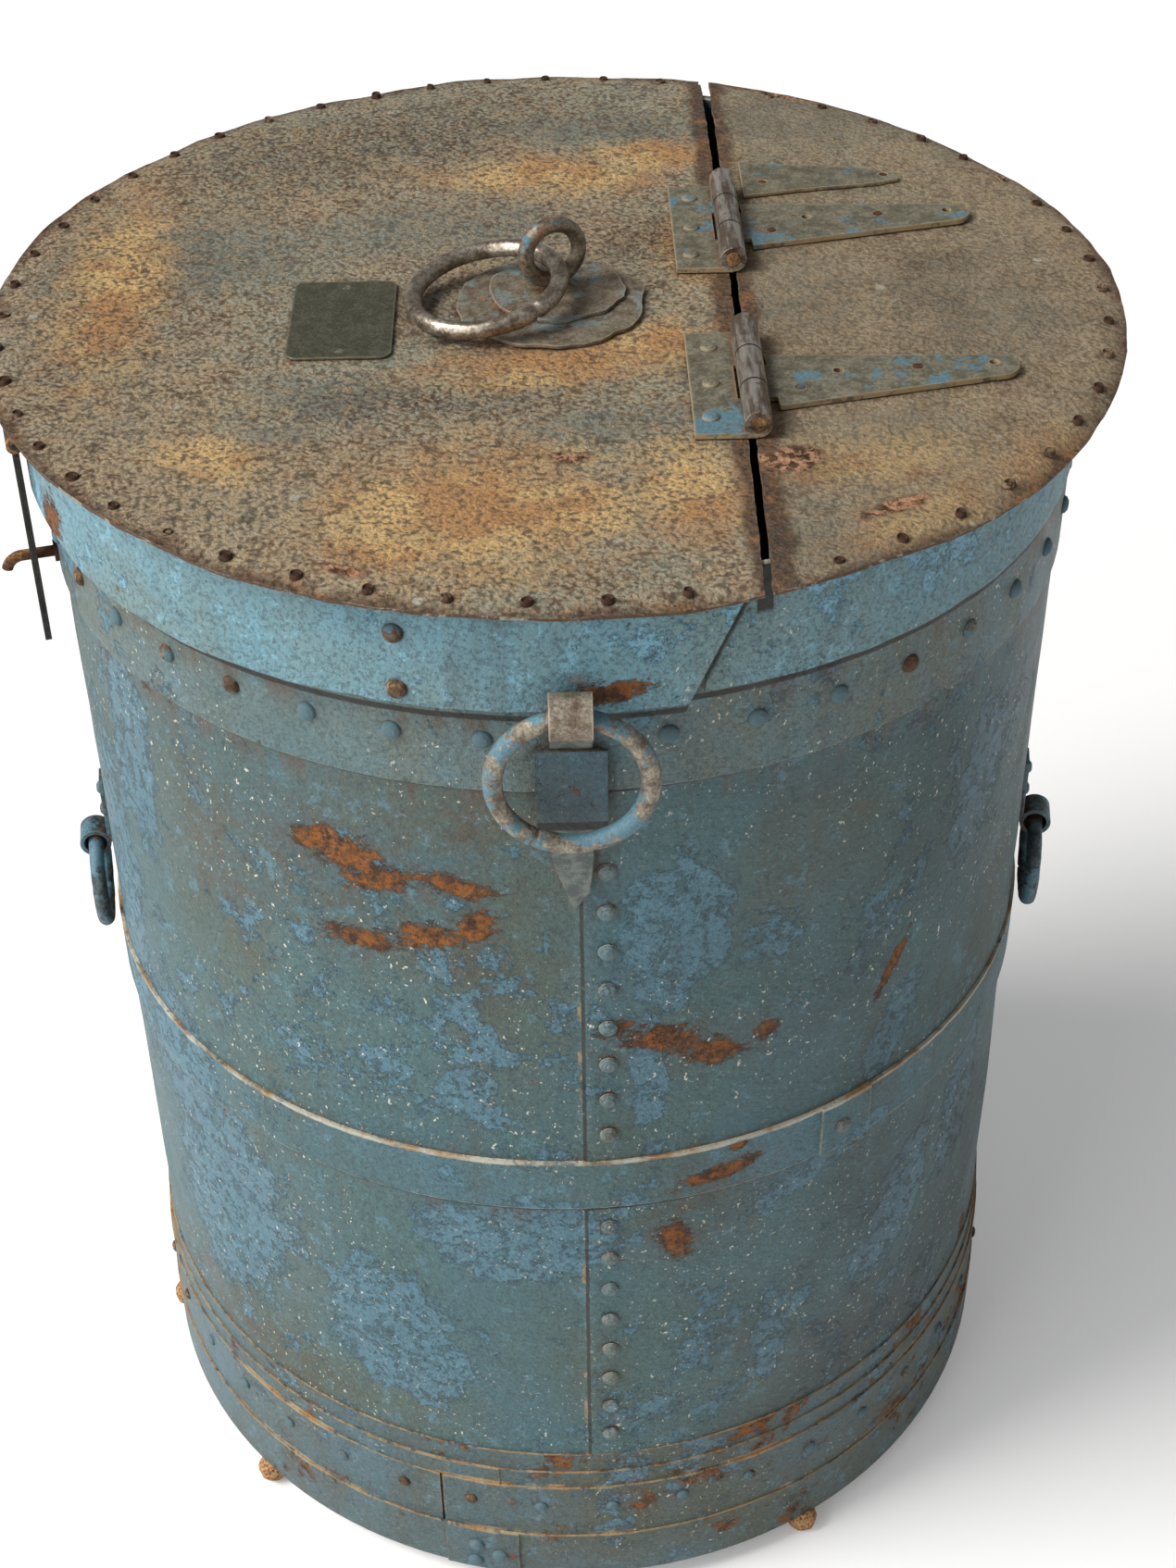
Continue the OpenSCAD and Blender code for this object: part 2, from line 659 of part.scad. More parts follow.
module hasp_plate_rivets() color("slategray") for (s = [-1, 1]) at_turn(-hasp_turn)
    translate([s * 7, -open_skirt_r - skirt_t - 2.3, hasp_pin_z + 17]) rotate([90, 0, 0]) head(7, 2);

module hasp_pin() color("dimgray") at_turn(-hasp_turn)
    translate([-hasp_w / 2, -hasp_r, hasp_pin_z]) rotate([0, 90, 0])
        cylinder(d = hasp_pin_d, h = hasp_w);

// Strap with a slot that is open at its lower end, where the end bar has rusted away
module hasp() color("black") at_turn(-hasp_turn) union() {
    difference() {
        translate([0, -hasp_r + hasp_t / 2, hasp_pin_z]) rotate([90, 0, 0])
            linear_extrude(hasp_t) difference() {
                polygon([
                    [-hasp_w / 6 + 0.3, -2], [hasp_w / 6 - 0.3, -2],
                    [hasp_w / 6 - 0.3, -6], [hasp_w / 2, -6],
                    [hasp_w / 2, 22 - hasp_len], [slot_w / 2 + 1, -hasp_len],
                    [slot_w / 2, -hasp_len], [-slot_w / 2, 11 - hasp_len],
                    [-hasp_w / 2, 11 - hasp_len], [-hasp_w / 2, -6], [-hasp_w / 6 + 0.3, -6]
                ]);
                translate([0, -hasp_slot_top - slot_w / 2]) circle(d = slot_w);
                translate([-slot_w / 2, -hasp_len - 1])
                    square([slot_w, hasp_len + 1 - hasp_slot_top - slot_w / 2]);
            }
        translate([-hasp_w, -hasp_r, hasp_pin_z]) rotate([0, 90, 0])
            cylinder(r = hasp_knuckle_r - 1, h = 2 * hasp_w);
    }
    hasp_knuckle(0, hasp_pin_d + 2 * pin_gap);
}

// Hooked staple on the upper band; its rod stands in the hasp's slot.
module staple() color("dimgray") at_turn(-hasp_turn) translate([0, 0, staple_z]) union() {
    translate([0, -band_r + EPS, 0]) rotate([90, 0, 0]) cylinder(d = staple_d, h = staple_out - band_r);
    translate([0, -band_r, 0]) rotate([90, 0, 0]) cylinder(d = staple_d + 6, h = 2);
    translate([0, -staple_out, -staple_bend]) rotate([180, -90, 0])
        rotate_extrude(angle = staple_turn) translate([staple_bend, 0]) circle(d = staple_d);
}

body_shell();
bottom_plate();
upper_band();
mid_hoop();
base_bead();
base_step();
base_band();
bottom_hoop();
feet();
seam_rivets();
band_rivets();
hoop_rivets();
base_rivets();
front_strap();
front_strap_plate();
front_ring();
left_strap();
left_strap_rivets();
left_ring();
right_strap();
right_strap_rivets();
right_ring();
staple();
fixed_lid();
fixed_skirt();
fixed_rim_rivets();
fixed_skirt_rivets();
back_hinge_strap();
front_hinge_strap();
back_hinge_pin();
front_hinge_pin();
strap_rivets();
old_strap();
old_strap_rivets();
lid_flap();
flap_skirt();
flap_rim_rivets();
flap_skirt_rivets();
back_hinge_leaf();
front_hinge_leaf();
leaf_rivets();
lower_washer();
upper_washer();
lid_eye();
lid_ring();
nameplate();
nameplate_rivet();
hasp_plate();
hasp_plate_rivets();
hasp_pin();
hasp();
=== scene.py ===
"""Looks for the riveted sheet-iron drum: worn blue paint, rust, hand-forged rings and a warped lid."""

import math
import random

import bpy
from mathutils import Matrix, Vector


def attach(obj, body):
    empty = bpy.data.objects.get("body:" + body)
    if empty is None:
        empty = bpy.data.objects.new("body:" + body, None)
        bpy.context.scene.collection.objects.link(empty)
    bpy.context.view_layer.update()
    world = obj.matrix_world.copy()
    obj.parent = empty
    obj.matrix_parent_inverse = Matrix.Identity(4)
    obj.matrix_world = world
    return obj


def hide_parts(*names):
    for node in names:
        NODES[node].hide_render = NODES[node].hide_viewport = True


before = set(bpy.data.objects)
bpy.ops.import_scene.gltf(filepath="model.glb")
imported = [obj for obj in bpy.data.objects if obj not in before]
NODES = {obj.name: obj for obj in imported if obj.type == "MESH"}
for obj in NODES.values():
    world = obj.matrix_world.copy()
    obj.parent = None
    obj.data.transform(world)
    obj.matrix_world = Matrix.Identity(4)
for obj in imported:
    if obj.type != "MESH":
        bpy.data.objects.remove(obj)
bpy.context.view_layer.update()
BODY_R = 0.2754
LID_TOP = 0.760
FLOOR_Z = 0.0
rng = random.Random(7)


# ---------- node trees ----------


class Tree:
    """Builds one material. Values passed around are sockets or plain numbers."""

    def __init__(self, name):
        self.mat = bpy.data.materials.new(name)
        self.mat.use_nodes = True
        self.nt = self.mat.node_tree
        self.nt.nodes.clear()
        self.out = self.nt.nodes.new("ShaderNodeOutputMaterial")
        self.bsdf = self.nt.nodes.new("ShaderNodeBsdfPrincipled")
        self.nt.links.new(self.bsdf.outputs["BSDF"], self.out.inputs["Surface"])
        place = self.nt.nodes.new("ShaderNodeTexCoord")
        self.at = place.outputs["Object"]
        self.facing = place.outputs["Normal"]
        self.geo = self.nt.nodes.new("ShaderNodeNewGeometry")
        self._polar = None

    def put(self, socket, value):
        if isinstance(value, bpy.types.NodeSocket):
            self.nt.links.new(value, socket)
        elif value is not None:
            socket.default_value = value

    def math(self, op, a, b=None, c=None, clamp=False):
        node = self.nt.nodes.new("ShaderNodeMath")
        node.operation = op
        node.use_clamp = clamp
        for socket, value in zip(node.inputs, (a, b, c)):
            self.put(socket, value)
        return node.outputs[0]

    def line(self, a, b, c):
        """a times b plus c."""
        return self.math("MULTIPLY_ADD", a, b, c)

    def xyz(self, vec=None):
        node = self.nt.nodes.new("ShaderNodeSeparateXYZ")
        self.put(node.inputs[0], vec or self.at)
        return node.outputs

    def polar(self):
        """Arc length from the front and height, in metres on the body's wall."""
        if self._polar is None:
            x, y, z = self.xyz()
            turn = self.math("ARCTAN2", x, self.math("MULTIPLY", y, -1.0))
            self._polar = (self.math("MULTIPLY", turn, BODY_R), z)
        return self._polar

    def scaled(self, factors):
        node = self.nt.nodes.new("ShaderNodeVectorMath")
        node.operation = "MULTIPLY"
        self.put(node.inputs[0], self.at)
        node.inputs[1].default_value = factors
        return node.outputs[0]

    def noise(self, scale, detail=4.0, rough=0.55, vec=None, stretch=None):
        node = self.nt.nodes.new("ShaderNodeTexNoise")
        self.put(node.inputs["Vector"], self.scaled(stretch) if stretch else vec or self.at)
        node.inputs["Scale"].default_value = scale
        node.inputs["Detail"].default_value = detail
        node.inputs["Roughness"].default_value = rough
        return node.outputs["Fac"]

    def cells(self, scale, feature="F1", vec=None, out="Distance"):
        node = self.nt.nodes.new("ShaderNodeTexVoronoi")
        node.feature = feature
        self.put(node.inputs["Vector"], vec or self.at)
        node.inputs["Scale"].default_value = scale
        return node.outputs[out]

    def step(self, value, low, high):
        """Smooth step from 0 at low to 1 at high; low may be the larger."""
        node = self.nt.nodes.new("ShaderNodeMapRange")
        node.interpolation_type = "SMOOTHSTEP"
        self.put(node.inputs["Value"], value)
        ends = (low, high, 0.0, 1.0) if low < high else (high, low, 1.0, 0.0)
        for name, end in zip(("From Min", "From Max", "To Min", "To Max"), ends):
            node.inputs[name].default_value = end
        return node.outputs["Result"]

    def cloud(self, scale, detail, rough, low, high):
        return self.step(self.noise(scale, detail, rough), low, high)

    def mix(self, fac, a, b):
        node = self.nt.nodes.new("ShaderNodeMix")
        node.data_type = "RGBA"
        self.put(node.inputs[0], fac)
        for socket, value in zip(node.inputs[6:8], (a, b)):
            self.put(socket, (*value, 1.0) if isinstance(value, tuple) else value)
        return node.outputs[2]

    def over(self, color, mask, amount, tone):
        """The tone laid on the colour through a mask, this strongly."""
        return self.mix(self.both(mask, amount), color, tone)

    def lerp(self, fac, a, b):
        node = self.nt.nodes.new("ShaderNodeMix")
        self.put(node.inputs[0], fac)
        self.put(node.inputs[2], a)
        self.put(node.inputs[3], b)
        return node.outputs[0]

    def both(self, *masks):
        out = masks[0]
        for mask in masks[1:]:
            out = self.math("MULTIPLY", out, mask)
        return out

    def either(self, *masks):
        out = masks[0]
        for mask in masks[1:]:
            out = self.math("MAXIMUM", out, mask)
        return out

    def spots(self, places, ragged, across="wall", soft=0.35):
        """Ragged-edged spots: each place is (u, v, half width, half height, turn in degrees)."""
        if across == "wall":
            u, v = self.polar()
        else:
            u, v, _ = self.xyz()
        out = None
        for pu, pv, half_u, half_v, turn in places:
            du = self.math("SUBTRACT", u, pu)
            dv = self.math("SUBTRACT", v, pv)
            if turn:
                c, s = math.cos(math.radians(turn)), math.sin(math.radians(turn))
                ru = self.line(du, c, self.math("MULTIPLY", dv, s))
                rv = self.line(dv, c, self.math("MULTIPLY", du, -s))
                du, dv = ru, rv
            du = self.math("MULTIPLY", du, 1.0 / half_u)
            dv = self.math("MULTIPLY", dv, 1.0 / half_v)
            near = self.line(du, du, self.math("MULTIPLY", dv, dv))
            out = near if out is None else self.math("MINIMUM", out, near)
        edge = self.math("ADD", self.math("SQRT", out), ragged)
        return self.step(edge, 1.0 + soft, 1.0 - soft)

    def wear_edge(self, radius, low=0.02, high=0.12):
        """Mask along sharp edges, from how far a rounded normal leaves the true one."""
        bevel = self.nt.nodes.new("ShaderNodeBevel")
        bevel.samples = 4
        bevel.inputs["Radius"].default_value = radius
        dot = self.nt.nodes.new("ShaderNodeVectorMath")
        dot.operation = "DOT_PRODUCT"
        self.put(dot.inputs[0], bevel.outputs[0])
        self.put(dot.inputs[1], self.geo.outputs["Normal"])
        return self.step(self.math("SUBTRACT", 1.0, dot.outputs["Value"]), low, high)

    def crevice(self, distance, low=0.9, high=0.45):
        ao = self.nt.nodes.new("ShaderNodeAmbientOcclusion")
        ao.samples = 4
        ao.inputs["Distance"].default_value = distance
        return self.step(ao.outputs["AO"], low, high)

    def bump(self, layers, bevel_radius=0.0):
        """layers: (height socket, metres of relief)."""
        normal = None
        if bevel_radius:
            bevel = self.nt.nodes.new("ShaderNodeBevel")
            bevel.samples = 4
            bevel.inputs["Radius"].default_value = bevel_radius
            normal = bevel.outputs[0]
        for height, relief in layers:
            node = self.nt.nodes.new("ShaderNodeBump")
            self.put(node.inputs["Height"], height)
            node.inputs["Distance"].default_value = relief
            if normal is not None:
                self.put(node.inputs["Normal"], normal)
            normal = node.outputs[0]
        self.put(self.bsdf.inputs["Normal"], normal)

    def finish(self, color, rough, metal=0.0, specular=0.5):
        self.put(self.bsdf.inputs["Base Color"], color)
        self.put(self.bsdf.inputs["Roughness"], rough)
        self.put(self.bsdf.inputs["Metallic"], metal)
        self.bsdf.inputs["Specular IOR Level"].default_value = specular
        return self.mat


RUST_DARK = (0.045, 0.020, 0.010)
RUST_BROWN = (0.120, 0.052, 0.020)
RUST_ORANGE = (0.330, 0.130, 0.035)
OCHRE = (0.420, 0.235, 0.090)
CREAM = (0.560, 0.540, 0.440)
CHALK = (0.300, 0.320, 0.280)


def rust_color(t, scale=260.0):
    fine = t.noise(scale, 5.0, 0.7)
    broad = t.noise(scale * 0.22, 3.0, 0.6)
    warm = t.mix(t.step(fine, 0.40, 0.64), RUST_DARK, RUST_BROWN)
    return t.mix(t.both(t.step(broad, 0.45, 0.66), t.step(fine, 0.42, 0.60)), warm, RUST_ORANGE)


# Places on the wall: arc from the front, height, half width, half height, tilt in degrees.
# Where the paint has rusted through
RUST_SPOTS = [
    (-0.117, 0.588, 0.017, 0.0085, -8.0), (-0.094, 0.575, 0.014, 0.0050, 12.0),
    (-0.056, 0.578, 0.013, 0.0045, -12.0), (-0.108, 0.533, 0.016, 0.0040, 0.0),
    (-0.072, 0.543, 0.013, 0.0060, 6.0), (-0.048, 0.553, 0.006, 0.0090, -55.0),
    (0.021, 0.484, 0.007, 0.0035, 20.0), (0.050, 0.472, 0.015, 0.0070, -14.0),
    (0.076, 0.457, 0.011, 0.0055, -10.0), (0.105, 0.464, 0.005, 0.0055, 20.0),
    (0.079, 0.366, 0.016, 0.0045, 12.0), (0.091, 0.383, 0.004, 0.0022, 0.0),
    (0.056, 0.316, 0.006, 0.0110, 20.0), (-0.309, 0.700, 0.008, 0.0200, -35.0),
    (-0.240, 0.652, 0.003, 0.0120, 0.0), (0.188, 0.470, 0.003, 0.0140, -30.0),
    (0.320, 0.105, 0.004, 0.0350, 0.0), (0.020, 0.705, 0.012, 0.0040, 0.0),
]
# Where a brighter blue coat shows
BRIGHT_SPOTS = [
    (0.056, 0.547, 0.026, 0.048, 0.0), (0.040, 0.450, 0.010, 0.040, 0.0),
    (-0.032, 0.322, 0.058, 0.033, 0.0), (-0.108, 0.223, 0.044, 0.058, 20.0),
    (-0.231, 0.260, 0.053, 0.079, -20.0), (-0.263, 0.352, 0.034, 0.058, 0.0),
    (0.192, 0.419, 0.014, 0.042, -28.0), (0.212, 0.265, 0.022, 0.055, -25.0),
    (0.274, 0.304, 0.022, 0.060, -10.0), (0.147, 0.343, 0.052, 0.009, 22.0),
    (-0.268, 0.586, 0.023, 0.074, 0.0), (-0.058, 0.436, 0.014, 0.018, -30.0),
    (0.255, 0.557, 0.024, 0.050, -15.0), (0.116, 0.202, 0.011, 0.027, 0.0),
    (-0.320, 0.450, 0.030, 0.120, 0.0),
]
# Where brown stain surrounds the rusted places
STAIN_SPOTS = [
    (-0.100, 0.575, 0.075, 0.034, 0.0), (-0.195, 0.560, 0.022, 0.070, 8.0),
    (-0.078, 0.532, 0.058, 0.024, 0.0), (0.060, 0.466, 0.046, 0.018, -8.0),
    (0.066, 0.336, 0.028, 0.036, 0.0), (0.080, 0.366, 0.024, 0.010, 0.0),
    (-0.040, 0.615, 0.050, 0.020, 0.0), (-0.250, 0.150, 0.080, 0.030, 0.0),
]
# Where olive-grey grime lies over the paint
GRIME_SPOTS = [
    (-0.228, 0.561, 0.027, 0.100, 5.0), (-0.026, 0.519, 0.030, 0.085, 0.0),
    (-0.070, 0.630, 0.090, 0.030, 0.0), (0.135, 0.575, 0.055, 0.045, 0.0),
    (0.293, 0.437, 0.030, 0.056, 0.0), (-0.190, 0.480, 0.024, 0.045, -20.0),
    (0.008, 0.211, 0.027, 0.052, 0.0), (0.167, 0.150, 0.078, 0.055, 0.0),
    (-0.150, 0.150, 0.090, 0.030, 0.0),
]


def paint(name, base, bright, dull, bare=0.0, spots=True, edge=CREAM, edge_amount=1.0, ledge=True,
          flecks=1.0, gloss=0.42, crevice_size=0.010, lips=(), lip_amount=1.0, shadow_lines=(), slanted=False,
          wall_shade_and_lap=False, stepped=False):
    """Old brushed paint on sheet iron, with dust on ledges, flecks, stains and rust, and painted shade and
    painted shadow lines where they are asked for.
    """
    t = Tree(name)
    grain = t.noise(430.0, 4.0, 0.72)
    peel = t.noise(170.0, 5.0, 0.65)
    ragged = t.noise(34.0, 8.0, 0.72)
    wide = t.noise(4.2, 3.0, 0.55)
    wash = t.noise(11.0, 6.0, 0.62, stretch=(1.0, 1.0, 0.7))
    shift = t.line(ragged, 2.4, -1.2)

    color = t.mix(t.step(wash, 0.36, 0.66), base, dull)
    color = t.over(color, t.step(wide, 0.50, 0.66), 0.55, dull)
    # thin veil of grey-green grime in clouds, and runs down the wall
    cloud = t.noise(7.5, 5.0, 0.6, stretch=(1.0, 1.0, 0.55))
    grime = t.both(t.step(cloud, 0.52, 0.74), 0.55)
    if spots:
        soft = t.line(t.noise(12.0, 6.0, 0.65), 2.2, -1.1)
        grime = t.either(grime, t.both(t.spots(GRIME_SPOTS, soft, soft=0.55), 0.62))
    color = t.mix(grime, color, (0.084, 0.112, 0.084))
    if spots:
        broken = t.cloud(70.0, 7.0, 0.78, 0.36, 0.62)
        stained = t.both(t.spots(STAIN_SPOTS, soft, soft=0.85), broken)
        color = t.over(color, stained, 0.72, (0.092, 0.056, 0.024))
    runs = t.noise(30.0, 4.0, 0.6, stretch=(1.0, 1.0, 0.10))
    color = t.over(color, t.step(runs, 0.56, 0.72), 0.42, (0.078, 0.066, 0.046))
    # brighter coat in flaked patches
    flake = t.math("ADD", t.math("MULTIPLY", ragged, 0.75), t.math("MULTIPLY", wide, 0.55))
    patch = t.step(flake, 0.735, 0.755)
    if spots:
        patch = t.either(patch, t.both(t.spots(BRIGHT_SPOTS, shift, soft=0.05), 0.95))
    worn = t.noise(120.0, 8.0, 0.8)
    patch = t.both(patch, t.line(t.step(worn, 0.42, 0.47), 0.75, 0.25))
    color = t.over(color, patch, 0.90, bright)
    if wall_shade_and_lap:
        # painted shade: the wall darkens from the front round to the right side and the back, more towards
        # the bottom
        u, _ = t.polar()
        right_side_shade = t.both(t.step(u, 0.03, 0.17), t.cloud(14.0, 5.0, 0.6, 0.30, 0.62))
        deep = t.line(t.step(t.xyz()[2], 0.36, 0.18), 0.28, 0.42)
        color = t.mix(t.both(right_side_shade, deep), color, (0.028, 0.048, 0.052))
        # edge of the lap: a painted shadow line along it, with broken primer beside it
        z = t.xyz()[2]
        sheet = t.both(t.step(z, 0.1318, 0.1326), t.step(z, BAND_LOW, BAND_LOW - 0.0008))
        beside = t.math("SUBTRACT", u, LAP_U + 0.0006)
        beside = t.line(t.noise(60.0, 5.0, 0.7), 0.0012, beside)
        lap_edge_shadow = t.both(t.step(beside, -0.0014, -0.0008), t.step(beside, 0.0012, 0.0006), sheet, 0.85)
        primer = t.both(t.step(beside, -0.0034, -0.0026), t.step(beside, -0.0006, -0.0012),
                        t.cloud(46.0, 6.0, 0.8, 0.52, 0.57), sheet, 0.70)
    # crisp blotches, then the fine grain of the brushed, pitted coat
    blotch = t.noise(62.0, 9.0, 0.78)
    color = t.over(color, t.step(blotch, 0.57, 0.60), 0.40, tuple(c * 1.45 for c in bright))
    color = t.over(color, t.step(blotch, 0.43, 0.38), 0.50, tuple(c * 0.45 for c in base))
    color = t.over(color, t.step(grain, 0.52, 0.40), 0.50, (0.030, 0.046, 0.050))
    color = t.over(color, t.step(grain, 0.60, 0.72), 0.55, CHALK)
    pits = t.noise(260.0, 3.0, 0.6, stretch=(1.0, 1.0, 1.2))
    color = t.over(color, t.step(pits, 0.67, 0.72), 0.7, RUST_DARK)

    # pale flecks where the paint is chipped to its primer, in crowds
    crowd = t.cloud(9.0, 4.0, 0.65, 0.56 - 0.16 * flecks, 0.66 - 0.14 * flecks)
    small = t.step(t.noise(360.0, 3.0, 0.6, stretch=(1.0, 1.0, 0.8)), 0.655, 0.672)
    larger = t.step(t.noise(180.0, 6.0, 0.72, stretch=(0.7, 1.1, 1.4)), 0.668, 0.678)
    fleck = t.both(crowd, t.either(small, larger))
    color = t.over(color, fleck, 0.95, (0.720, 0.700, 0.590))

    # rust: chosen spots, scattered pinpricks, and what creeps out of corners
    rust = t.math("ADD", t.noise(26.0, 7.0, 0.75), t.math("MULTIPLY", wide, 0.25))
    rust = t.step(rust, 0.80 - bare, 0.87 - bare)
    if spots:
        eaten = t.noise(84.0, 9.0, 0.86, stretch=(1.0, 1.0, 1.7))
        eaten = t.line(eaten, 7.5, -4.08)
        rust = t.either(rust, t.spots(RUST_SPOTS, eaten, soft=0.14))
    corner = t.both(t.crevice(crevice_size), t.cloud(60.0, 4.0, 0.6, 0.36, 0.58))
    halo = t.cloud(40.0, 6.0, 0.7, 0.58, 0.70)
    rust_all = t.either(rust, t.both(corner, 0.75))
    stain = t.both(halo, t.step(wide, 0.42, 0.6), 0.35)
    color = t.mix(stain, color, (0.150, 0.095, 0.050))
    fire = t.mix(t.cloud(150.0, 6.0, 0.75, 0.44, 0.60), rust_color(t), (0.275, 0.092, 0.014))
    color = t.mix(rust_all, color, fire)

    if wall_shade_and_lap:
        color = t.mix(primer, color, (0.380, 0.260, 0.130))
        # painted shadow along the lap's edge
        color = t.mix(lap_edge_shadow, color, (0.022, 0.016, 0.011))

    # ledges gather pale dust and worn edges show primer
    if ledge:
        up = t.step(t.xyz(t.facing)[2], 0.35, 0.75)
        broken = t.cloud(70.0, 6.0, 0.76, 0.42, 0.51)
        dust = t.mix(t.cloud(46.0, 4.0, 0.6, 0.44, 0.60), edge, OCHRE)
        color = t.mix(t.both(up, broken, 0.85 * edge_amount), color, dust)
        height = t.line(t.noise(55.0, 5.0, 0.7), 0.0034, t.xyz()[2])
        for top, depth in lips:
            over = t.step(height, top - depth + 0.0013, top - depth + 0.0021)
            under = t.step(height, top + 0.0046, top + 0.0040)
            kept = t.cloud(16.0, 5.0, 0.7, 0.60 - 0.24 * lip_amount, 0.72 - 0.24 * lip_amount)
            color = t.mix(t.both(over, under, t.both(kept, 0.85)), color, dust)
    rim = t.both(t.wear_edge(0.0012), t.cloud(85.0, 5.0, 0.7, 0.40, 0.54))
    color = t.over(color, rim, 0.8 * edge_amount, edge)

    # painted shadow lines under the edges of sheets, with stains that run from them
    height = t.line(t.noise(50.0, 4.0, 0.6), 0.0016, t.xyz()[2])
    if stepped:
        opening = t.step(t.xyz()[0], SLANT_X + 0.001, SLANT_X - 0.001)
        height = t.math("ADD", height, t.math("MULTIPLY", opening, SHADOW_DROP))
    for top, depth in shadow_lines:
        under = t.both(t.step(height, top - depth - 0.0002, top - depth + 0.0006),
                       t.step(height, top + 0.0016, top + 0.0008))
        wet = t.step(height, top - 0.022, top)
        streak = t.step(t.noise(46.0, 4.0, 0.6, stretch=(1.0, 1.0, 0.05)), 0.50, 0.66)
        below = t.both(t.step(height, top + 0.0016, top), 0.65)
        color = t.mix(t.both(wet, streak, below), color, (0.105, 0.062, 0.034))
        # painted shadow: the dark line just under the edge
        color = t.over(color, under, 0.90, (0.016, 0.012, 0.009))
    if slanted:
        # painted shadow: a dark line on the fixed skirt beside the slanted end of the opening skirt, wider
        # on the front, and a dark mark at the notch
        x, y, z = t.xyz()
        front = t.step(y, 0.0, -0.01)
        past = t.line(z, -SLANT_LEAN, x)
        past = t.math("ADD", past, SLANT_Z * SLANT_LEAN - SLANT_X)
        past = t.line(t.noise(70.0, 4.0, 0.7), 0.0016, past)
        line = t.either(t.both(t.step(past, 0.0001, 0.0006), t.step(past, 0.0024, 0.0016)),
                        t.both(front, t.both(t.step(past, 0.0016, 0.0020), t.step(past, 0.0068, 0.0044))))
        aside = t.math("ABSOLUTE", t.math("SUBTRACT", x, NOTCH_X))
        notch = t.both(t.step(aside, 0.0045, 0.0034), t.both(front, t.step(z, 0.731, 0.735)))
        # painted shade just under the lid's rim
        under = t.step(t.line(t.noise(40.0, 5.0, 0.7), 0.012, z), 0.7480, 0.7580)
        color = t.over(color, under, 0.70, (0.030, 0.058, 0.070))
        color = t.over(color, t.either(line, notch), 0.94, (0.012, 0.009, 0.007))

    rough = t.lerp(rust_all, t.lerp(t.step(wash, 0.35, 0.7), gloss, gloss + 0.18), 0.85)
    rough = t.math("ADD", rough, t.line(grain, 0.24, -0.12), clamp=True)
    dents = t.noise(9.0, 2.0, 0.5)
    relief = t.line(patch, 0.30, t.math("MULTIPLY", peel, 0.8))
    relief = t.line(blotch, 0.5, relief)
    t.bump([(dents, 0.012), (relief, 0.0026), (grain, 0.00080),
            (t.math("MULTIPLY", rust_all, t.noise(300.0, 4.0, 0.7)), 0.0012),
            (t.math("MULTIPLY", fleck, -1.0), 0.0003)], bevel_radius=0.0008)
    return t.finish(color, rough, specular=0.45)


# Middle of the joint between the lid's two plates
JOINT_X = 0.094
# Broad tints on the lid: x, y, half width, half height, turn
LID_OCHRE = [
    (-0.036, -0.215, 0.048, 0.044, 8.0), (-0.075, -0.215, 0.030, 0.026, -20.0),
    (0.006, -0.214, 0.026, 0.022, 10.0), (-0.167, -0.163, 0.024, 0.015, -30.0),
    (-0.078, -0.246, 0.026, 0.011, -15.0), (0.002, -0.076, 0.052, 0.018, 8.0),
    (0.049, -0.056, 0.028, 0.022, 0.0), (0.062, -0.200, 0.024, 0.034, 0.0),
    (0.003, 0.148, 0.054, 0.020, 0.0), (0.060, 0.172, 0.036, 0.017, 0.0),
    (0.144, -0.176, 0.040, 0.018, 10.0), (0.166, -0.226, 0.036, 0.014, 35.0),
    (0.232, -0.180, 0.016, 0.030, -35.0), (-0.234, 0.017, 0.022, 0.080, 0.0),
    (0.080, 0.052, 0.014, 0.034, 0.0),
]
LID_BLUE = [
    (0.035, 0.212, 0.052, 0.026, 0.0), (-0.137, -0.143, 0.020, 0.009, 0.0),
    (-0.116, -0.102, 0.034, 0.020, 0.0), (0.025, -0.139, 0.038, 0.014, 12.0),
    (0.142, 0.226, 0.052, 0.030, 0.0), (0.127, -0.011, 0.032, 0.040, 0.0),
    (0.120, -0.243, 0.034, 0.014, 15.0), (0.074, -0.083, 0.010, 0.046, 0.0),
    (-0.060, 0.080, 0.070, 0.035, 0.0), (0.150, -0.150, 0.050, 0.016, 10.0),
    (0.220, -0.030, 0.040, 0.060, 0.0), (-0.190, 0.060, 0.050, 0.050, 0.0),
]
LID_DARK = [
    (-0.236, -0.010, 0.040, 0.100, 0.0), (-0.120, 0.190, 0.110, 0.040, 25.0),
    (0.208, -0.010, 0.026, 0.060, 0.0), (0.060, 0.060, 0.040, 0.030, 0.0),
    (-0.060, -0.110, 0.060, 0.016, 0.0),
]
LID_TORN = [
    (0.110, -0.175, 0.016, 0.013, 20.0), (0.005, -0.169, 0.010, 0.005, 0.0),
    (0.155, -0.218, 0.016, 0.005, 30.0), (-0.098, -0.262, 0.010, 0.004, -20.0),
    (0.082, 0.054, 0.007, 0.014, 0.0), (0.147, 0.258, 0.018, 0.006, -25.0),
]


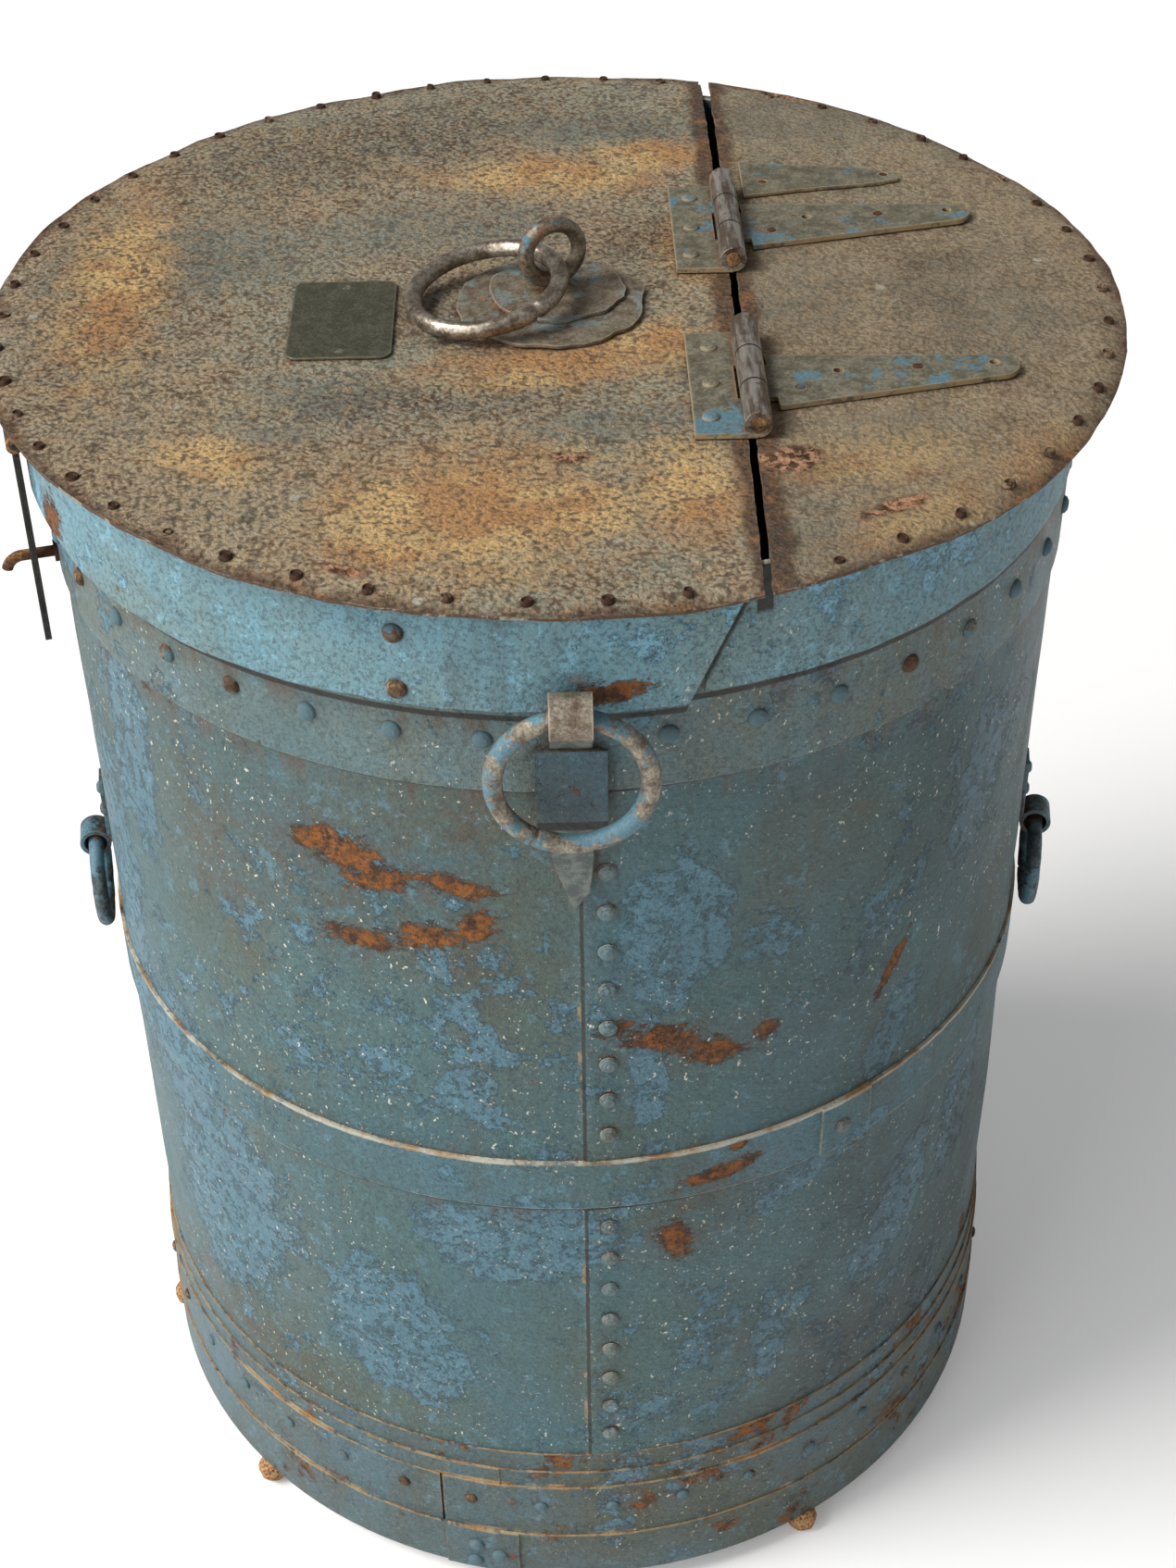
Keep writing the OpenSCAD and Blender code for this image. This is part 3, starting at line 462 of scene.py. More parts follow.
def lid_sheet(name):
    """Weathered plate: leathery mottle, brown and grey-blue, with ochre stains and a rusty rim."""
    t = Tree(name)
    x, y, _ = t.xyz()
    warp = t.nt.nodes.new("ShaderNodeTexNoise")
    warp.inputs["Scale"].default_value = 150.0
    t.put(warp.inputs["Vector"], t.at)
    wob = t.nt.nodes.new("ShaderNodeVectorMath")
    wob.operation = "MULTIPLY_ADD"
    t.put(wob.inputs[0], warp.outputs["Color"])
    wob.inputs[1].default_value = (0.0030, 0.0030, 0.0)
    t.put(wob.inputs[2], t.at)
    hide = t.cells(400.0, "SMOOTH_F1", vec=wob.outputs[0])
    ridge = t.noise(460.0, 4.0, 0.68, vec=wob.outputs[0])
    fine = t.noise(600.0, 3.0, 0.7)
    wide = t.noise(6.0, 4.0, 0.6)
    mid = t.noise(22.0, 6.0, 0.68)
    ragged = t.line(t.noise(18.0, 7.0, 0.7), 2.2, -1.1)

    relief = t.math("ADD", t.math("MULTIPLY", hide, -0.75), t.math("MULTIPLY", ridge, 1.15))
    raised = t.step(relief, 0.02, 0.42)
    valley = t.mix(t.step(mid, 0.44, 0.56), (0.172, 0.105, 0.056), (0.162, 0.143, 0.098))
    crest = t.mix(t.step(wide, 0.42, 0.58), (0.550, 0.440, 0.290), (0.450, 0.430, 0.325))
    color = t.mix(raised, valley, crest)
    patchy = t.noise(75.0, 8.0, 0.74)
    color = t.over(color, t.step(patchy, 0.53, 0.58), 0.35, (0.420, 0.330, 0.200))
    color = t.over(color, t.step(patchy, 0.46, 0.42), 0.45, (0.085, 0.060, 0.036))

    blue = t.either(t.spots(LID_BLUE, ragged, "lid", 0.7), t.step(mid, 0.60, 0.74))
    color = t.mix(t.both(blue, 0.55, t.step(ridge, 0.34, 0.56)), color, (0.150, 0.195, 0.185))
    dark = t.either(t.spots(LID_DARK, ragged, "lid", 0.8), t.both(t.step(wide, 0.56, 0.70), 0.5))
    color = t.mix(t.both(dark, 0.60, t.step(ridge, 0.66, 0.40)), color, (0.050, 0.027, 0.017))
    torn_edge = t.line(t.noise(46.0, 9.0, 0.82), 4.2, -2.2)
    ochre = t.spots(LID_OCHRE, torn_edge, "lid", 0.85)
    warm = t.both(t.cloud(130.0, 7.0, 0.76, 0.50, 0.60), t.step(relief, 0.00, 0.34))
    color = t.over(color, warm, 0.45, (0.560, 0.340, 0.150))
    color = t.over(color, ochre, 0.32, (0.330, 0.185, 0.080))
    gold = t.mix(t.step(mid, 0.44, 0.58), (0.680, 0.350, 0.130), (0.950, 0.640, 0.270))
    color = t.mix(t.both(ochre, 0.88, t.step(relief, 0.00, 0.34)), color, gold)
    color = t.mix(t.both(ochre, 0.30, t.step(fine, 0.46, 0.60)), color, (0.260, 0.130, 0.055))
    # the fixed part is browner
    right = t.step(x, 0.090, 0.110)
    tan = t.mix(t.cloud(40.0, 6.0, 0.7, 0.40, 0.62), (0.240, 0.180, 0.112), (0.390, 0.300, 0.190))
    color = t.over(color, right, 0.45, tan)

    # rust gathers at the rim, beside the joint and in torn places
    radius = t.math("SQRT", t.line(x, x, t.math("MULTIPLY", y, y)))
    rim = t.step(t.line(t.noise(20.0, 5.0, 0.7), 0.030, radius), 0.304, 0.317)
    seam = t.math("ABSOLUTE", t.math("SUBTRACT", x, JOINT_X))
    joint = t.both(t.step(t.line(mid, -0.022, seam), 0.004, -0.004), 0.8)
    torn = t.spots(LID_TORN, t.line(t.noise(70.0, 6.0, 0.75), 2.2, -1.1), "lid", 0.3)
    corner = t.both(t.crevice(0.014, 0.92, 0.55), t.cloud(50.0, 4.0, 0.6, 0.34, 0.56))
    rust = t.either(t.both(rim, 0.85), joint, torn, t.both(corner, 0.7))
    color = t.mix(rust, color, rust_color(t, 210.0))
    color = t.mix(t.both(torn, t.cloud(190.0, 5.0, 0.75, 0.46, 0.56)), color, (0.620, 0.340, 0.190))

    # chips of an old blue coat, and pale flecks
    chip = t.step(t.math("ADD", t.noise(48.0, 7.0, 0.75), t.math("MULTIPLY", wide, 0.2)), 0.80, 0.83)
    color = t.over(color, chip, 0.8, (0.170, 0.290, 0.330))
    cell = t.cells(70.0, out="Color")
    pick = t.math("GREATER_THAN", t.xyz(cell)[1], 0.965)
    speck = t.both(pick, t.step(t.cells(70.0), 0.22, 0.14))
    color = t.over(color, speck, 0.8, CREAM)
    # cut edge of the plate: dark rust with paler bare places
    side = t.step(t.math("ABSOLUTE", t.xyz(t.facing)[2]), 0.6, 0.3)
    color = t.mix(side, color, (0.120, 0.062, 0.032))
    color = t.mix(t.both(side, t.cloud(60.0, 6.0, 0.75, 0.54, 0.60)), color, (0.420, 0.370, 0.290))
    edge = t.both(t.wear_edge(0.0010), t.cloud(75.0, 4.0, 0.7, 0.50, 0.58))
    color = t.over(color, edge, 0.7, (0.480, 0.440, 0.360))

    rough = t.line(raised, -0.16, 0.72)
    t.bump([(t.noise(8.0, 3.0, 0.5), 0.012), (patchy, 0.0024), (relief, 0.0021), (fine, 0.00040),
            (t.math("MULTIPLY", rust, t.noise(260.0, 4.0, 0.7)), 0.0014)], bevel_radius=0.0006)
    return t.finish(color, rough, specular=0.42)


def iron(name, low, high, paint_color=None, paint_amount=0.0, rust_amount=0.3, polish=0.35, metal=0.75,
         scale=1.0, relief=1.0, extra=None):
    """Hand-worn iron: dark pits, polished high places, rust and the remains of paint."""
    t = Tree(name)
    grain = t.noise(700.0 * scale, 4.0, 0.7)
    mid = t.noise(150.0 * scale, 6.0, 0.7)
    wide = t.noise(28.0 * scale, 4.0, 0.6)
    color = t.mix(t.step(mid, 0.36, 0.62), low, high)
    color = t.over(color, t.step(grain, 0.58, 0.40), 0.5, (low[0] * 0.35, low[1] * 0.32, low[2] * 0.3))
    rub = t.both(t.wear_edge(0.0018, 0.01), 0.75)
    color = t.mix(rub, color, tuple(min(0.85, c * 1.9) for c in high))
    rust_at = t.line(wide, 0.5, t.math("MULTIPLY", mid, 0.5))
    rust = t.step(rust_at, 0.66 - 0.28 * rust_amount, 0.73 - 0.28 * rust_amount)
    rust = t.either(rust, t.both(t.crevice(0.006), 0.85))
    color = t.mix(rust, color, rust_color(t, 300.0))
    metallic = t.lerp(rust, metal, 0.05)
    if paint_color:
        coat_at = t.math("MULTIPLY", wide, 0.3)
        coat_at = t.line(t.noise(60.0 * scale, 6.0, 0.7), 0.8, coat_at)
        coat = t.step(coat_at, 0.80 - 0.5 * paint_amount, 0.84 - 0.5 * paint_amount)
        coat = t.both(coat, t.math("SUBTRACT", 1.0, rub))
        tone = t.mix(t.step(grain, 0.4, 0.6), paint_color, tuple(c * 1.35 for c in paint_color))
        color = t.mix(coat, color, tone)
        metallic = t.lerp(coat, metallic, 0.0)
    rough = t.lerp(rust, t.line(mid, 0.35, polish), 0.85)
    if extra:
        color, rough, metallic = extra(t, color, rough, metallic, mid, grain)
    t.bump([(wide, 0.0012 * relief), (mid, 0.0007 * relief), (grain, 0.00022 * relief)],
           bevel_radius=0.0009)
    return t.finish(color, rough, metallic, 0.5)


# Hinge axis, its middles along the drum and a third of a knuckle
AXIS_X = 0.096
AXIS_Z = 0.7674
HINGE_Y = (0.070, -0.105)
KNUCKLE_THIRD = 0.034


def knuckles(t, color, rough, metallic, mid, grain):
    """Hinge plates: ochre lips on their cut sides, painted shadow along the foot of those sides, shiny
    rolled knuckles with gaps between them.
    """
    x, y, z = t.xyz()
    side = t.step(t.math("ABSOLUTE", t.xyz(t.facing)[2]), 0.55, 0.25)
    lip = t.both(t.either(side, t.wear_edge(0.0012)), t.cloud(90.0, 6.0, 0.75, 0.40, 0.50))
    color = t.over(color, lip, 0.80, (0.440, 0.320, 0.170))
    # painted shadow along the foot of the plates' sides
    color = t.mix(t.both(side, t.step(z, 0.7606, 0.7600)), color, (0.030, 0.018, 0.010))
    dx = t.math("SUBTRACT", x, AXIS_X)
    dz = t.math("SUBTRACT", z, AXIS_Z)
    out = t.math("SQRT", t.line(dx, dx, t.math("MULTIPLY", dz, dz)))
    roll = t.both(t.step(out, 0.0082, 0.0076), t.step(z, 0.7622, 0.7630))
    lengthways = t.noise(240.0, 5.0, 0.7, stretch=(1.0, 0.12, 1.0))
    steel = t.mix(t.step(lengthways, 0.40, 0.60), (0.200, 0.150, 0.110), (0.560, 0.520, 0.460))
    steel = t.over(steel, t.step(mid, 0.55, 0.66), 0.7, (0.150, 0.075, 0.045))
    near = None
    for middle in HINGE_Y:
        off = t.math("ABSOLUTE", t.math("SUBTRACT", y, middle))
        off = t.math("ABSOLUTE", t.math("SUBTRACT", off, KNUCKLE_THIRD / 2.0))
        near = off if near is None else t.math("MINIMUM", near, off)
    steel = t.mix(t.step(near, 0.0009, 0.0004), steel, (0.020, 0.012, 0.008))
    color = t.mix(roll, color, steel)
    metallic = t.lerp(roll, metallic, 0.85)
    rough = t.lerp(roll, rough, t.line(mid, 0.30, 0.20))
    return color, rough, metallic


def strap_tongue(t, color, rough, metallic, mid, grain):
    """Front strap: rust and worn steel at its eye, dull paint down its tail."""
    z = t.line(t.noise(60.0, 5.0, 0.7), 0.014, t.xyz()[2])
    low = t.step(z, 0.692, 0.680)
    dull = t.mix(t.step(mid, 0.42, 0.60), (0.075, 0.092, 0.086), (0.150, 0.172, 0.155))
    dull = t.over(dull, t.step(grain, 0.60, 0.70), 0.5, CHALK)
    color = t.mix(low, color, dull)
    fire = t.both(t.step(z, 0.700, 0.696), t.step(z, 0.688, 0.692))
    color = t.over(color, fire, 0.8, (0.330, 0.120, 0.030))
    return color, t.lerp(low, rough, 0.7), t.lerp(low, metallic, 0.0)


def rusty(name, tint=RUST_BROWN, light=OCHRE, spread=0.4, paint_color=None, paint_amount=0.3):
    """Heavily rusted iron with scaly relief."""
    t = Tree(name)
    scale_relief = t.noise(170.0, 6.0, 0.75)
    fine = t.noise(600.0, 4.0, 0.7)
    wide = t.noise(45.0, 4.0, 0.6)
    color = t.mix(t.step(scale_relief, 0.34, 0.62), RUST_DARK, tint)
    bloom = t.step(wide, 0.62 - spread * 0.3, 0.74 - spread * 0.3)
    color = t.mix(t.both(bloom, t.step(fine, 0.40, 0.58)), color, light)
    color = t.over(color, t.step(fine, 0.64, 0.74), 0.5, CREAM)
    if paint_color:
        ragged = t.math("MULTIPLY", t.noise(110.0, 6.0, 0.72), 0.5)
        coat_at = t.line(t.noise(13.0, 2.0, 0.5), 0.9, ragged)
        coat = t.step(coat_at, 0.92 - 0.35 * paint_amount, 0.97 - 0.35 * paint_amount)
        color = t.over(color, coat, 0.85, paint_color)
    t.bump([(wide, 0.0010), (scale_relief, 0.0011), (fine, 0.0003)], bevel_radius=0.0010)
    return t.finish(color, 0.82, 0.0, 0.3)


# Slanted end of the opening skirt: its place at the lower edge, how it leans, and the notch behind it
SLANT_X = 0.0570
SLANT_Z = 0.6926
SLANT_LEAN = 0.459
NOTCH_X = 0.0915
# Heights of the sheets' edges, then where the front lap ends round the wall
SKIRT_LOW = 0.6926
SKIRT_TOP = 0.7580
BAND_LOW = 0.6424
HOOP_TOP = 0.3880
HOOP_LOW = 0.3520
BASE_TOP = 0.1325
BEAD_TOP = 0.1021
STEP_TOP = 0.0550
LAP_U = 0.0062
# The shadow under the opening skirt lies this much lower than under the fixed one
SHADOW_DROP = 0.0060
BLUE = (0.055, 0.140, 0.166)
BRIGHT = (0.090, 0.208, 0.275)
DULL = (0.074, 0.142, 0.140)


def make_materials():
    return {
        # the body wall carries painted shade on its right side and painted shadow lines under the band and
        # the hoop
        "body": paint("body_paint", BLUE, BRIGHT, DULL, wall_shade_and_lap=True,
            shadow_lines=((BAND_LOW, 0.0014), (HOOP_LOW, 0.0022))),
        # the skirts carry painted shadow beside the slanted end and painted shade under the lid's rim
        "skirt": paint("skirt_paint", (0.150, 0.335, 0.420), (0.195, 0.430, 0.570),
            (0.180, 0.280, 0.285), flecks=0.3, gloss=0.46, edge=(0.30, 0.26, 0.19), edge_amount=0.6,
            slanted=True),
        # painted shadow line on the band under the skirts
        "band": paint("band_paint", (0.100, 0.190, 0.215), BRIGHT, (0.140, 0.165, 0.135), bare=0.03,
            spots=False, flecks=0.8, edge_amount=0.5, shadow_lines=((SKIRT_LOW, 0.0022),), stepped=True),
        "hoop": paint("hoop_paint", (0.062, 0.160, 0.195), (0.085, 0.215, 0.285), (0.070, 0.140, 0.150),
            bare=0.01, flecks=0.4, edge_amount=1.1, lips=((HOOP_TOP, 0.0022),)),
        "base": paint("base_paint", (0.068, 0.140, 0.170), (0.100, 0.210, 0.275), (0.094, 0.108, 0.080),
            bare=0.11, spots=False, flecks=0.4, edge=(0.46, 0.36, 0.22), edge_amount=1.0,
            lips=((BEAD_TOP, 0.0014), (STEP_TOP, 0.0012)), lip_amount=0.5),
        "lid": lid_sheet("lid_plate"),
        "inside": rusty("inside_rust", (0.100, 0.050, 0.025), (0.230, 0.130, 0.065)),
        "steel": iron("ring_steel", (0.260, 0.205, 0.150), (0.600, 0.530, 0.440), rust_amount=0.05,
            polish=0.16, metal=0.9, relief=0.45),
        "eye": iron("eye_steel", (0.160, 0.125, 0.090), (0.420, 0.360, 0.280), (0.075, 0.160, 0.200),
            0.40, 0.45, polish=0.3, relief=0.7),
        "front_ring": iron("front_ring_steel", (0.130, 0.105, 0.075), (0.380, 0.340, 0.265),
            (0.075, 0.158, 0.200), 0.53, 0.30, metal=0.50, relief=0.9),
        "side_ring": iron("side_ring_steel", (0.030, 0.042, 0.048), (0.110, 0.150, 0.160),
            (0.070, 0.150, 0.190), 0.5, 0.15, metal=0.3),
        "hinge": iron("hinge_steel", (0.125, 0.115, 0.075), (0.245, 0.225, 0.160),
            (0.084, 0.158, 0.192), 0.43, 0.30, metal=0.12, polish=0.42, scale=0.8, extra=knuckles),
        "washer": iron("washer_steel", (0.125, 0.095, 0.060), (0.260, 0.220, 0.160),
            (0.150, 0.180, 0.165), 0.42, 0.35, metal=0.1, polish=0.42),
        "rust": rusty("rivet_rust", RUST_BROWN, OCHRE, 0.35, (0.085, 0.150, 0.170), 0.35),
        "head": rusty("head_rust", (0.110, 0.066, 0.036), (0.340, 0.220, 0.110), 0.35,
            (0.095, 0.180, 0.210), 0.90),
        "foot": rusty("foot_rust", (0.260, 0.120, 0.045), (0.520, 0.300, 0.140), 0.9),
        "pin": rusty("pin_rust", (0.200, 0.105, 0.045), (0.420, 0.260, 0.110), 0.8),
        "loop": iron("loop_iron", (0.150, 0.105, 0.065), (0.360, 0.320, 0.250), (0.110, 0.190, 0.215),
            0.25, 0.35, metal=0.3, polish=0.4, extra=strap_tongue),
        # painted shadow line on the strap plate under the front ring
        "clip": paint("clip_paint", (0.052, 0.116, 0.152), (0.072, 0.170, 0.240), (0.062, 0.092, 0.096),
            bare=0.06, spots=False, flecks=0.2, edge=(0.10, 0.09, 0.07), edge_amount=0.5,
            shadow_lines=((0.6275, 0.004),)),
        "rivet": paint("rivet_paint", (0.100, 0.180, 0.205), (0.130, 0.235, 0.280),
            (0.140, 0.150, 0.125), bare=0.05, spots=False, flecks=0.5, ledge=False),
        # painted shade: the hasp's near-black colour stands in for the shadow it is seen in
        "hasp": iron("hasp_shade_black_iron", (0.010, 0.010, 0.011), (0.038, 0.035, 0.032), rust_amount=0.12,
            metal=0.3, polish=0.5),
        "dimple": rusty("dimple_rust", (0.070, 0.034, 0.018), (0.300, 0.210, 0.130), 0.30),
        "plate": iron("blank_plate", (0.150, 0.148, 0.095), (0.215, 0.210, 0.150), rust_amount=-0.6,
            metal=0.85, polish=0.30),
    }


# Each material and the nodes that wear it
WEARERS = {
    "body": "body_shell",
    "band": "upper_band",
    "hoop": "mid_hoop",
    "base": "base_bead base_step base_band bottom_hoop",
    "inside": "bottom_plate",
    "foot": "feet",
    "rivet": "seam_rivets hoop_rivets fixed_skirt_rivets",
    "head": "band_rivets base_rivets flap_skirt_rivets",
    "loop": "front_strap",
    "clip": "front_strap_plate",
    "front_ring": "front_ring",
    "side_ring": "left_strap left_ring left_strap_rivets right_strap right_ring right_strap_rivets",
    "rust": ("staple fixed_rim_rivets flap_rim_rivets strap_rivets old_strap_rivets hasp_plate "
             "hasp_plate_rivets"),
    "lid": "fixed_lid lid_flap",
    "skirt": "fixed_skirt flap_skirt",
    "hinge": ("back_hinge_strap front_hinge_strap back_hinge_leaf front_hinge_leaf leaf_rivets "
              "old_strap"),
    "pin": "back_hinge_pin front_hinge_pin",
    "washer": "lower_washer upper_washer",
    "eye": "lid_eye",
    "steel": "lid_ring nameplate_rivet",
    "plate": "nameplate",
    "hasp": "hasp_pin hasp",
}
MATERIAL_OF = {node: kind for kind, nodes in WEARERS.items() for node in nodes.split()}


def dress(materials):
    for name, obj in NODES.items():
        mat = materials[MATERIAL_OF[name]]
        for slot in obj.material_slots:
            slot.material = mat


# ---------- pieces modelled here in place of plain CAD ones ----------

# Joint between the lid plates: places along the drum and the two edges there
JOINT = [(-0.310, 0.0885, 0.0925), (0.0, 0.0935, 0.0975), (0.266, 0.0935, 0.0985), (0.310, 0.0875, 0.1035)]
RIM_R = 0.2988
RIM_RIVET_R = 0.290
RIM_COUNT = 51
# No rim rivets stand between these two places beside the joint
JOINT_CLEAR = (0.0805, 0.1055)
# Sides of the round sheets, and the skirts: thickness, inner sides, and where the fixed one begins
AROUND = 480
SKIRT_SHEET = 0.0013
OPEN_SKIRT_R = 0.2842
FIXED_SKIRT_R = 0.2777
FIXED_SKIRT_X = 0.064
# Lid ring and its eye: their middle, heights, turn about the upright and how far the ring leans
EYE_X = -0.001
EYE_Y = -0.002
EYE_Z = 0.7844
LID_RING_Z = 0.7794
LID_RING_R = 0.039
EYE_TURN = 25.0
LID_RING_LEAN = 10.2279
WASHER_SHEET = 0.0022
FLAP = "flap"
DRUM = "drum"


def deselect():
    if bpy.context.object and bpy.context.object.mode != "OBJECT":
        bpy.ops.object.mode_set(mode="OBJECT")
    bpy.ops.object.select_all(action="DESELECT")


def only(obj):
    deselect()
    obj.select_set(True)
    bpy.context.view_layer.objects.active = obj


def edit(obj):
    only(obj)
    bpy.ops.object.mode_set(mode="EDIT")


def pick(obj, test, kind="VERT"):
    """Selects the vertices, or faces, whose place passes the test."""
    bpy.ops.object.mode_set(mode="EDIT")
    bpy.ops.mesh.select_mode(type=kind)
    bpy.ops.mesh.select_all(action="DESELECT")
    bpy.ops.object.mode_set(mode="OBJECT")
    if kind == "VERT":
        for v in obj.data.vertices:
            v.select = bool(test(v.co))
    else:
        for f in obj.data.polygons:
            f.select = bool(test(f.center))
    bpy.ops.object.mode_set(mode="EDIT")


def group(obj, name, weight_at):
    vg = obj.vertex_groups.new(name=name)
    for v in obj.data.vertices:
        weight = weight_at(v.co)
        if weight > 0.0:
            vg.add([v.index], min(1.0, weight), "REPLACE")
    return name


def change(obj, kind, **settings):
    """Puts one modifier on the piece and applies it."""
    only(obj)
    mod = obj.modifiers.new("change", kind)
    for name, value in settings.items():
        setattr(mod, name, value)
    bpy.ops.object.modifier_apply(modifier=mod.name)


def roughen(obj, size, strength, direction="NORMAL", middle=0.5, where=""):
    """Moves the surface by cloud noise of this size."""
    tex = bpy.data.textures.new("clouds", "CLOUDS")
    tex.noise_scale = size
    tex.noise_depth = 2
    change(obj, "DISPLACE", texture=tex, texture_coords="LOCAL", strength=strength, mid_level=middle,
           direction=direction, vertex_group=where)


def thicken(obj, thickness):
    change(obj, "SOLIDIFY", thickness=thickness, offset=-1.0)


def smooth(obj, angle=40.0):
    only(obj)
    bpy.ops.object.shade_smooth_by_angle(angle=math.radians(angle))


def settle(obj, name, body, nodes, mat, angle=40.0):
    """Turns its faces outwards, names it and says what it rides on and stands for."""
    only(obj)
    bpy.ops.object.transform_apply(location=True, rotation=True, scale=True)
    bpy.ops.object.mode_set(mode="EDIT")
    bpy.ops.mesh.select_all(action="SELECT")
    bpy.ops.mesh.normals_make_consistent(inside=False)
    bpy.ops.object.mode_set(mode="OBJECT")
    smooth(obj, angle)
    obj.name = name
    obj.data.materials.clear()
    obj.data.materials.append(mat)
    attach(obj, body)
    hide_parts(*nodes)
    deselect()


def joined(pieces):
    deselect()
    for obj in pieces:
        obj.select_set(True)
    bpy.context.view_layer.objects.active = pieces[0]
    bpy.ops.object.join()
    return bpy.context.object


def copied(obj, matrix):
    new = obj.copy()
    new.data = obj.data.copy()
    bpy.context.collection.objects.link(new)
    new.data.transform(matrix)
    return new


def joint_x(y, side):
    """Where the joint's edge runs at y; side 0 is the opening part's edge, 1 the fixed part's."""
    for (y0, *e0), (y1, *e1) in zip(JOINT, JOINT[1:]):
        if y <= y1:
            k = (y - y0) / (y1 - y0)
            return e0[side] + (e1[side] - e0[side]) * k
    return JOINT[-1][1 + side]


def disc(radius, z, rings, around, inner=0.004):
    """Flat disc of rings, closed at the middle."""
    bpy.ops.mesh.primitive_circle_add(vertices=around, radius=radius, location=(0.0, 0.0, z))
    obj = bpy.context.object
    bpy.ops.object.transform_apply(location=True)
    edit(obj)
    bpy.ops.mesh.select_all(action="SELECT")
    for i in range(1, rings + 1):
        before = radius + (inner - radius) * (i - 1) / rings
        after = radius + (inner - radius) * i / rings
        bpy.ops.mesh.extrude_edges_move()
        k = after / before
        bpy.ops.transform.resize(value=(k, k, 1.0), center_override=(0.0, 0.0, z))
    bpy.ops.mesh.merge(type="CENTER")
    bpy.ops.object.mode_set(mode="OBJECT")
    return obj


def slice_at(place, normal):
    """Adds edges where a plane crosses the mesh that is being edited."""
    bpy.ops.mesh.select_all(action="SELECT")
    bpy.ops.mesh.bisect(plane_co=place, plane_no=normal)


def tube(radius, low, high, levels):
    """Open upright tube with edges at these levels, left in edit mode."""
    deselect()
    bpy.ops.mesh.primitive_cylinder_add(vertices=AROUND, radius=radius, depth=high - low,
                                        end_fill_type="NOTHING", location=(0.0, 0.0, (low + high) / 2.0))
    obj = bpy.context.object
    bpy.ops.object.transform_apply(location=True)
    edit(obj)
    for z in levels:
        slice_at((0.0, 0.0, z), (0.0, 0.0, 1.0))
    return obj


def lid_plate(name, node, body, side, mat):
    """Warped lid plate with a ragged rim, cut along the joint."""
    deselect()
    obj = disc(RIM_R, LID_TOP, 56, 320)
    edit(obj)
    for (y0, *e0), (y1, *e1) in zip(JOINT, JOINT[1:]):
        along = Vector((e1[side] - e0[side], y1 - y0, 0.0))
        slice_at((e0[side], y0, 0.0), along.cross(Vector((0.0, 0.0, 1.0))))
    sign = 1.0 if side else -1.0
    pick(obj, lambda c: sign * (c.x - joint_x(c.y, side)) < 0.0, "FACE")
    bpy.ops.mesh.delete(type="FACE")
    bpy.ops.object.mode_set(mode="OBJECT")
    rim = group(obj, "rim", lambda c: (math.hypot(c.x, c.y) - 0.235) / 0.06)
    edge = group(obj, "edge", lambda c: (math.hypot(c.x, c.y) - 0.2865) / 0.0115)
    cut = group(obj, "cut", lambda c: 1.0 if abs(c.x - joint_x(c.y, side)) < 0.0006 else 0.0)
    roughen(obj, 0.050, 0.0009, "Z", 1.0)
    roughen(obj, 0.085, 0.0022, "Z", 0.75, rim)
    roughen(obj, 0.120, 0.0075, "Z", 0.80, edge)
    roughen(obj, 0.014, 0.0011, "Z", 0.7, edge)
    roughen(obj, 0.022, 0.0022, "X", 0.5, edge)
    roughen(obj, 0.021, 0.0022, "Y", 0.5, edge)
    roughen(obj, 0.016, 0.0014, "X", 0.5, cut)
    thicken(obj, 0.0019)
    settle(obj, name, body, [node], mat, 30.0)


def skirt(name, node, radius, keep, mat, slanted):
    """Skirt under a lid plate, uneven along its lower edge."""
    levels = [SKIRT_LOW + (SKIRT_TOP - SKIRT_LOW) * i / 14.0 for i in range(1, 14)]
    obj = tube(radius + SKIRT_SHEET, SKIRT_LOW, SKIRT_TOP, levels)
    if slanted:
        slice_at((SLANT_X, 0.0, SLANT_Z), (1.0, 0.0, -SLANT_LEAN))
    pick(obj, lambda c: not keep(c), "FACE")
    bpy.ops.mesh.delete(type="FACE")
    bpy.ops.object.mode_set(mode="OBJECT")
    low = group(obj, "low", lambda c: 1.0 - (c.z - SKIRT_LOW) / 0.030)
    wall = group(obj, "wall", lambda c: 0.2 + (SKIRT_TOP - c.z) / 0.050)
    roughen(obj, 0.060, 0.0018, "NORMAL", 0.75, wall)
    roughen(obj, 0.070, 0.0050, "Z", 0.25, low)
    roughen(obj, 0.012, 0.0012, "Z", 0.3, low)
    thicken(obj, SKIRT_SHEET)
    body = FLAP if slanted else DRUM
    settle(obj, name, body, [node], mat, 40.0)


def crater():
    """Rivet in a punched dimple: a sloping lip, a sunk ring and a low head."""
    bpy.ops.mesh.primitive_cylinder_add(vertices=20, radius=0.0036, depth=0.0026, location=(0.0, 0.0, 0.0))
    obj = bpy.context.object
    pick(obj, lambda c: c.z > 0.001, "FACE")
    bpy.ops.transform.resize(value=(0.80, 0.80, 1.0), center_override=(0.0, 0.0, 0.0))
    for inset, rise in ((0.0006, -0.0007), (0.0005, -0.0005), (0.0005, 0.0003)):
        bpy.ops.mesh.inset(thickness=inset)
        bpy.ops.transform.translate(value=(0.0, 0.0, rise))
    bpy.ops.object.mode_set(mode="OBJECT")
    return obj


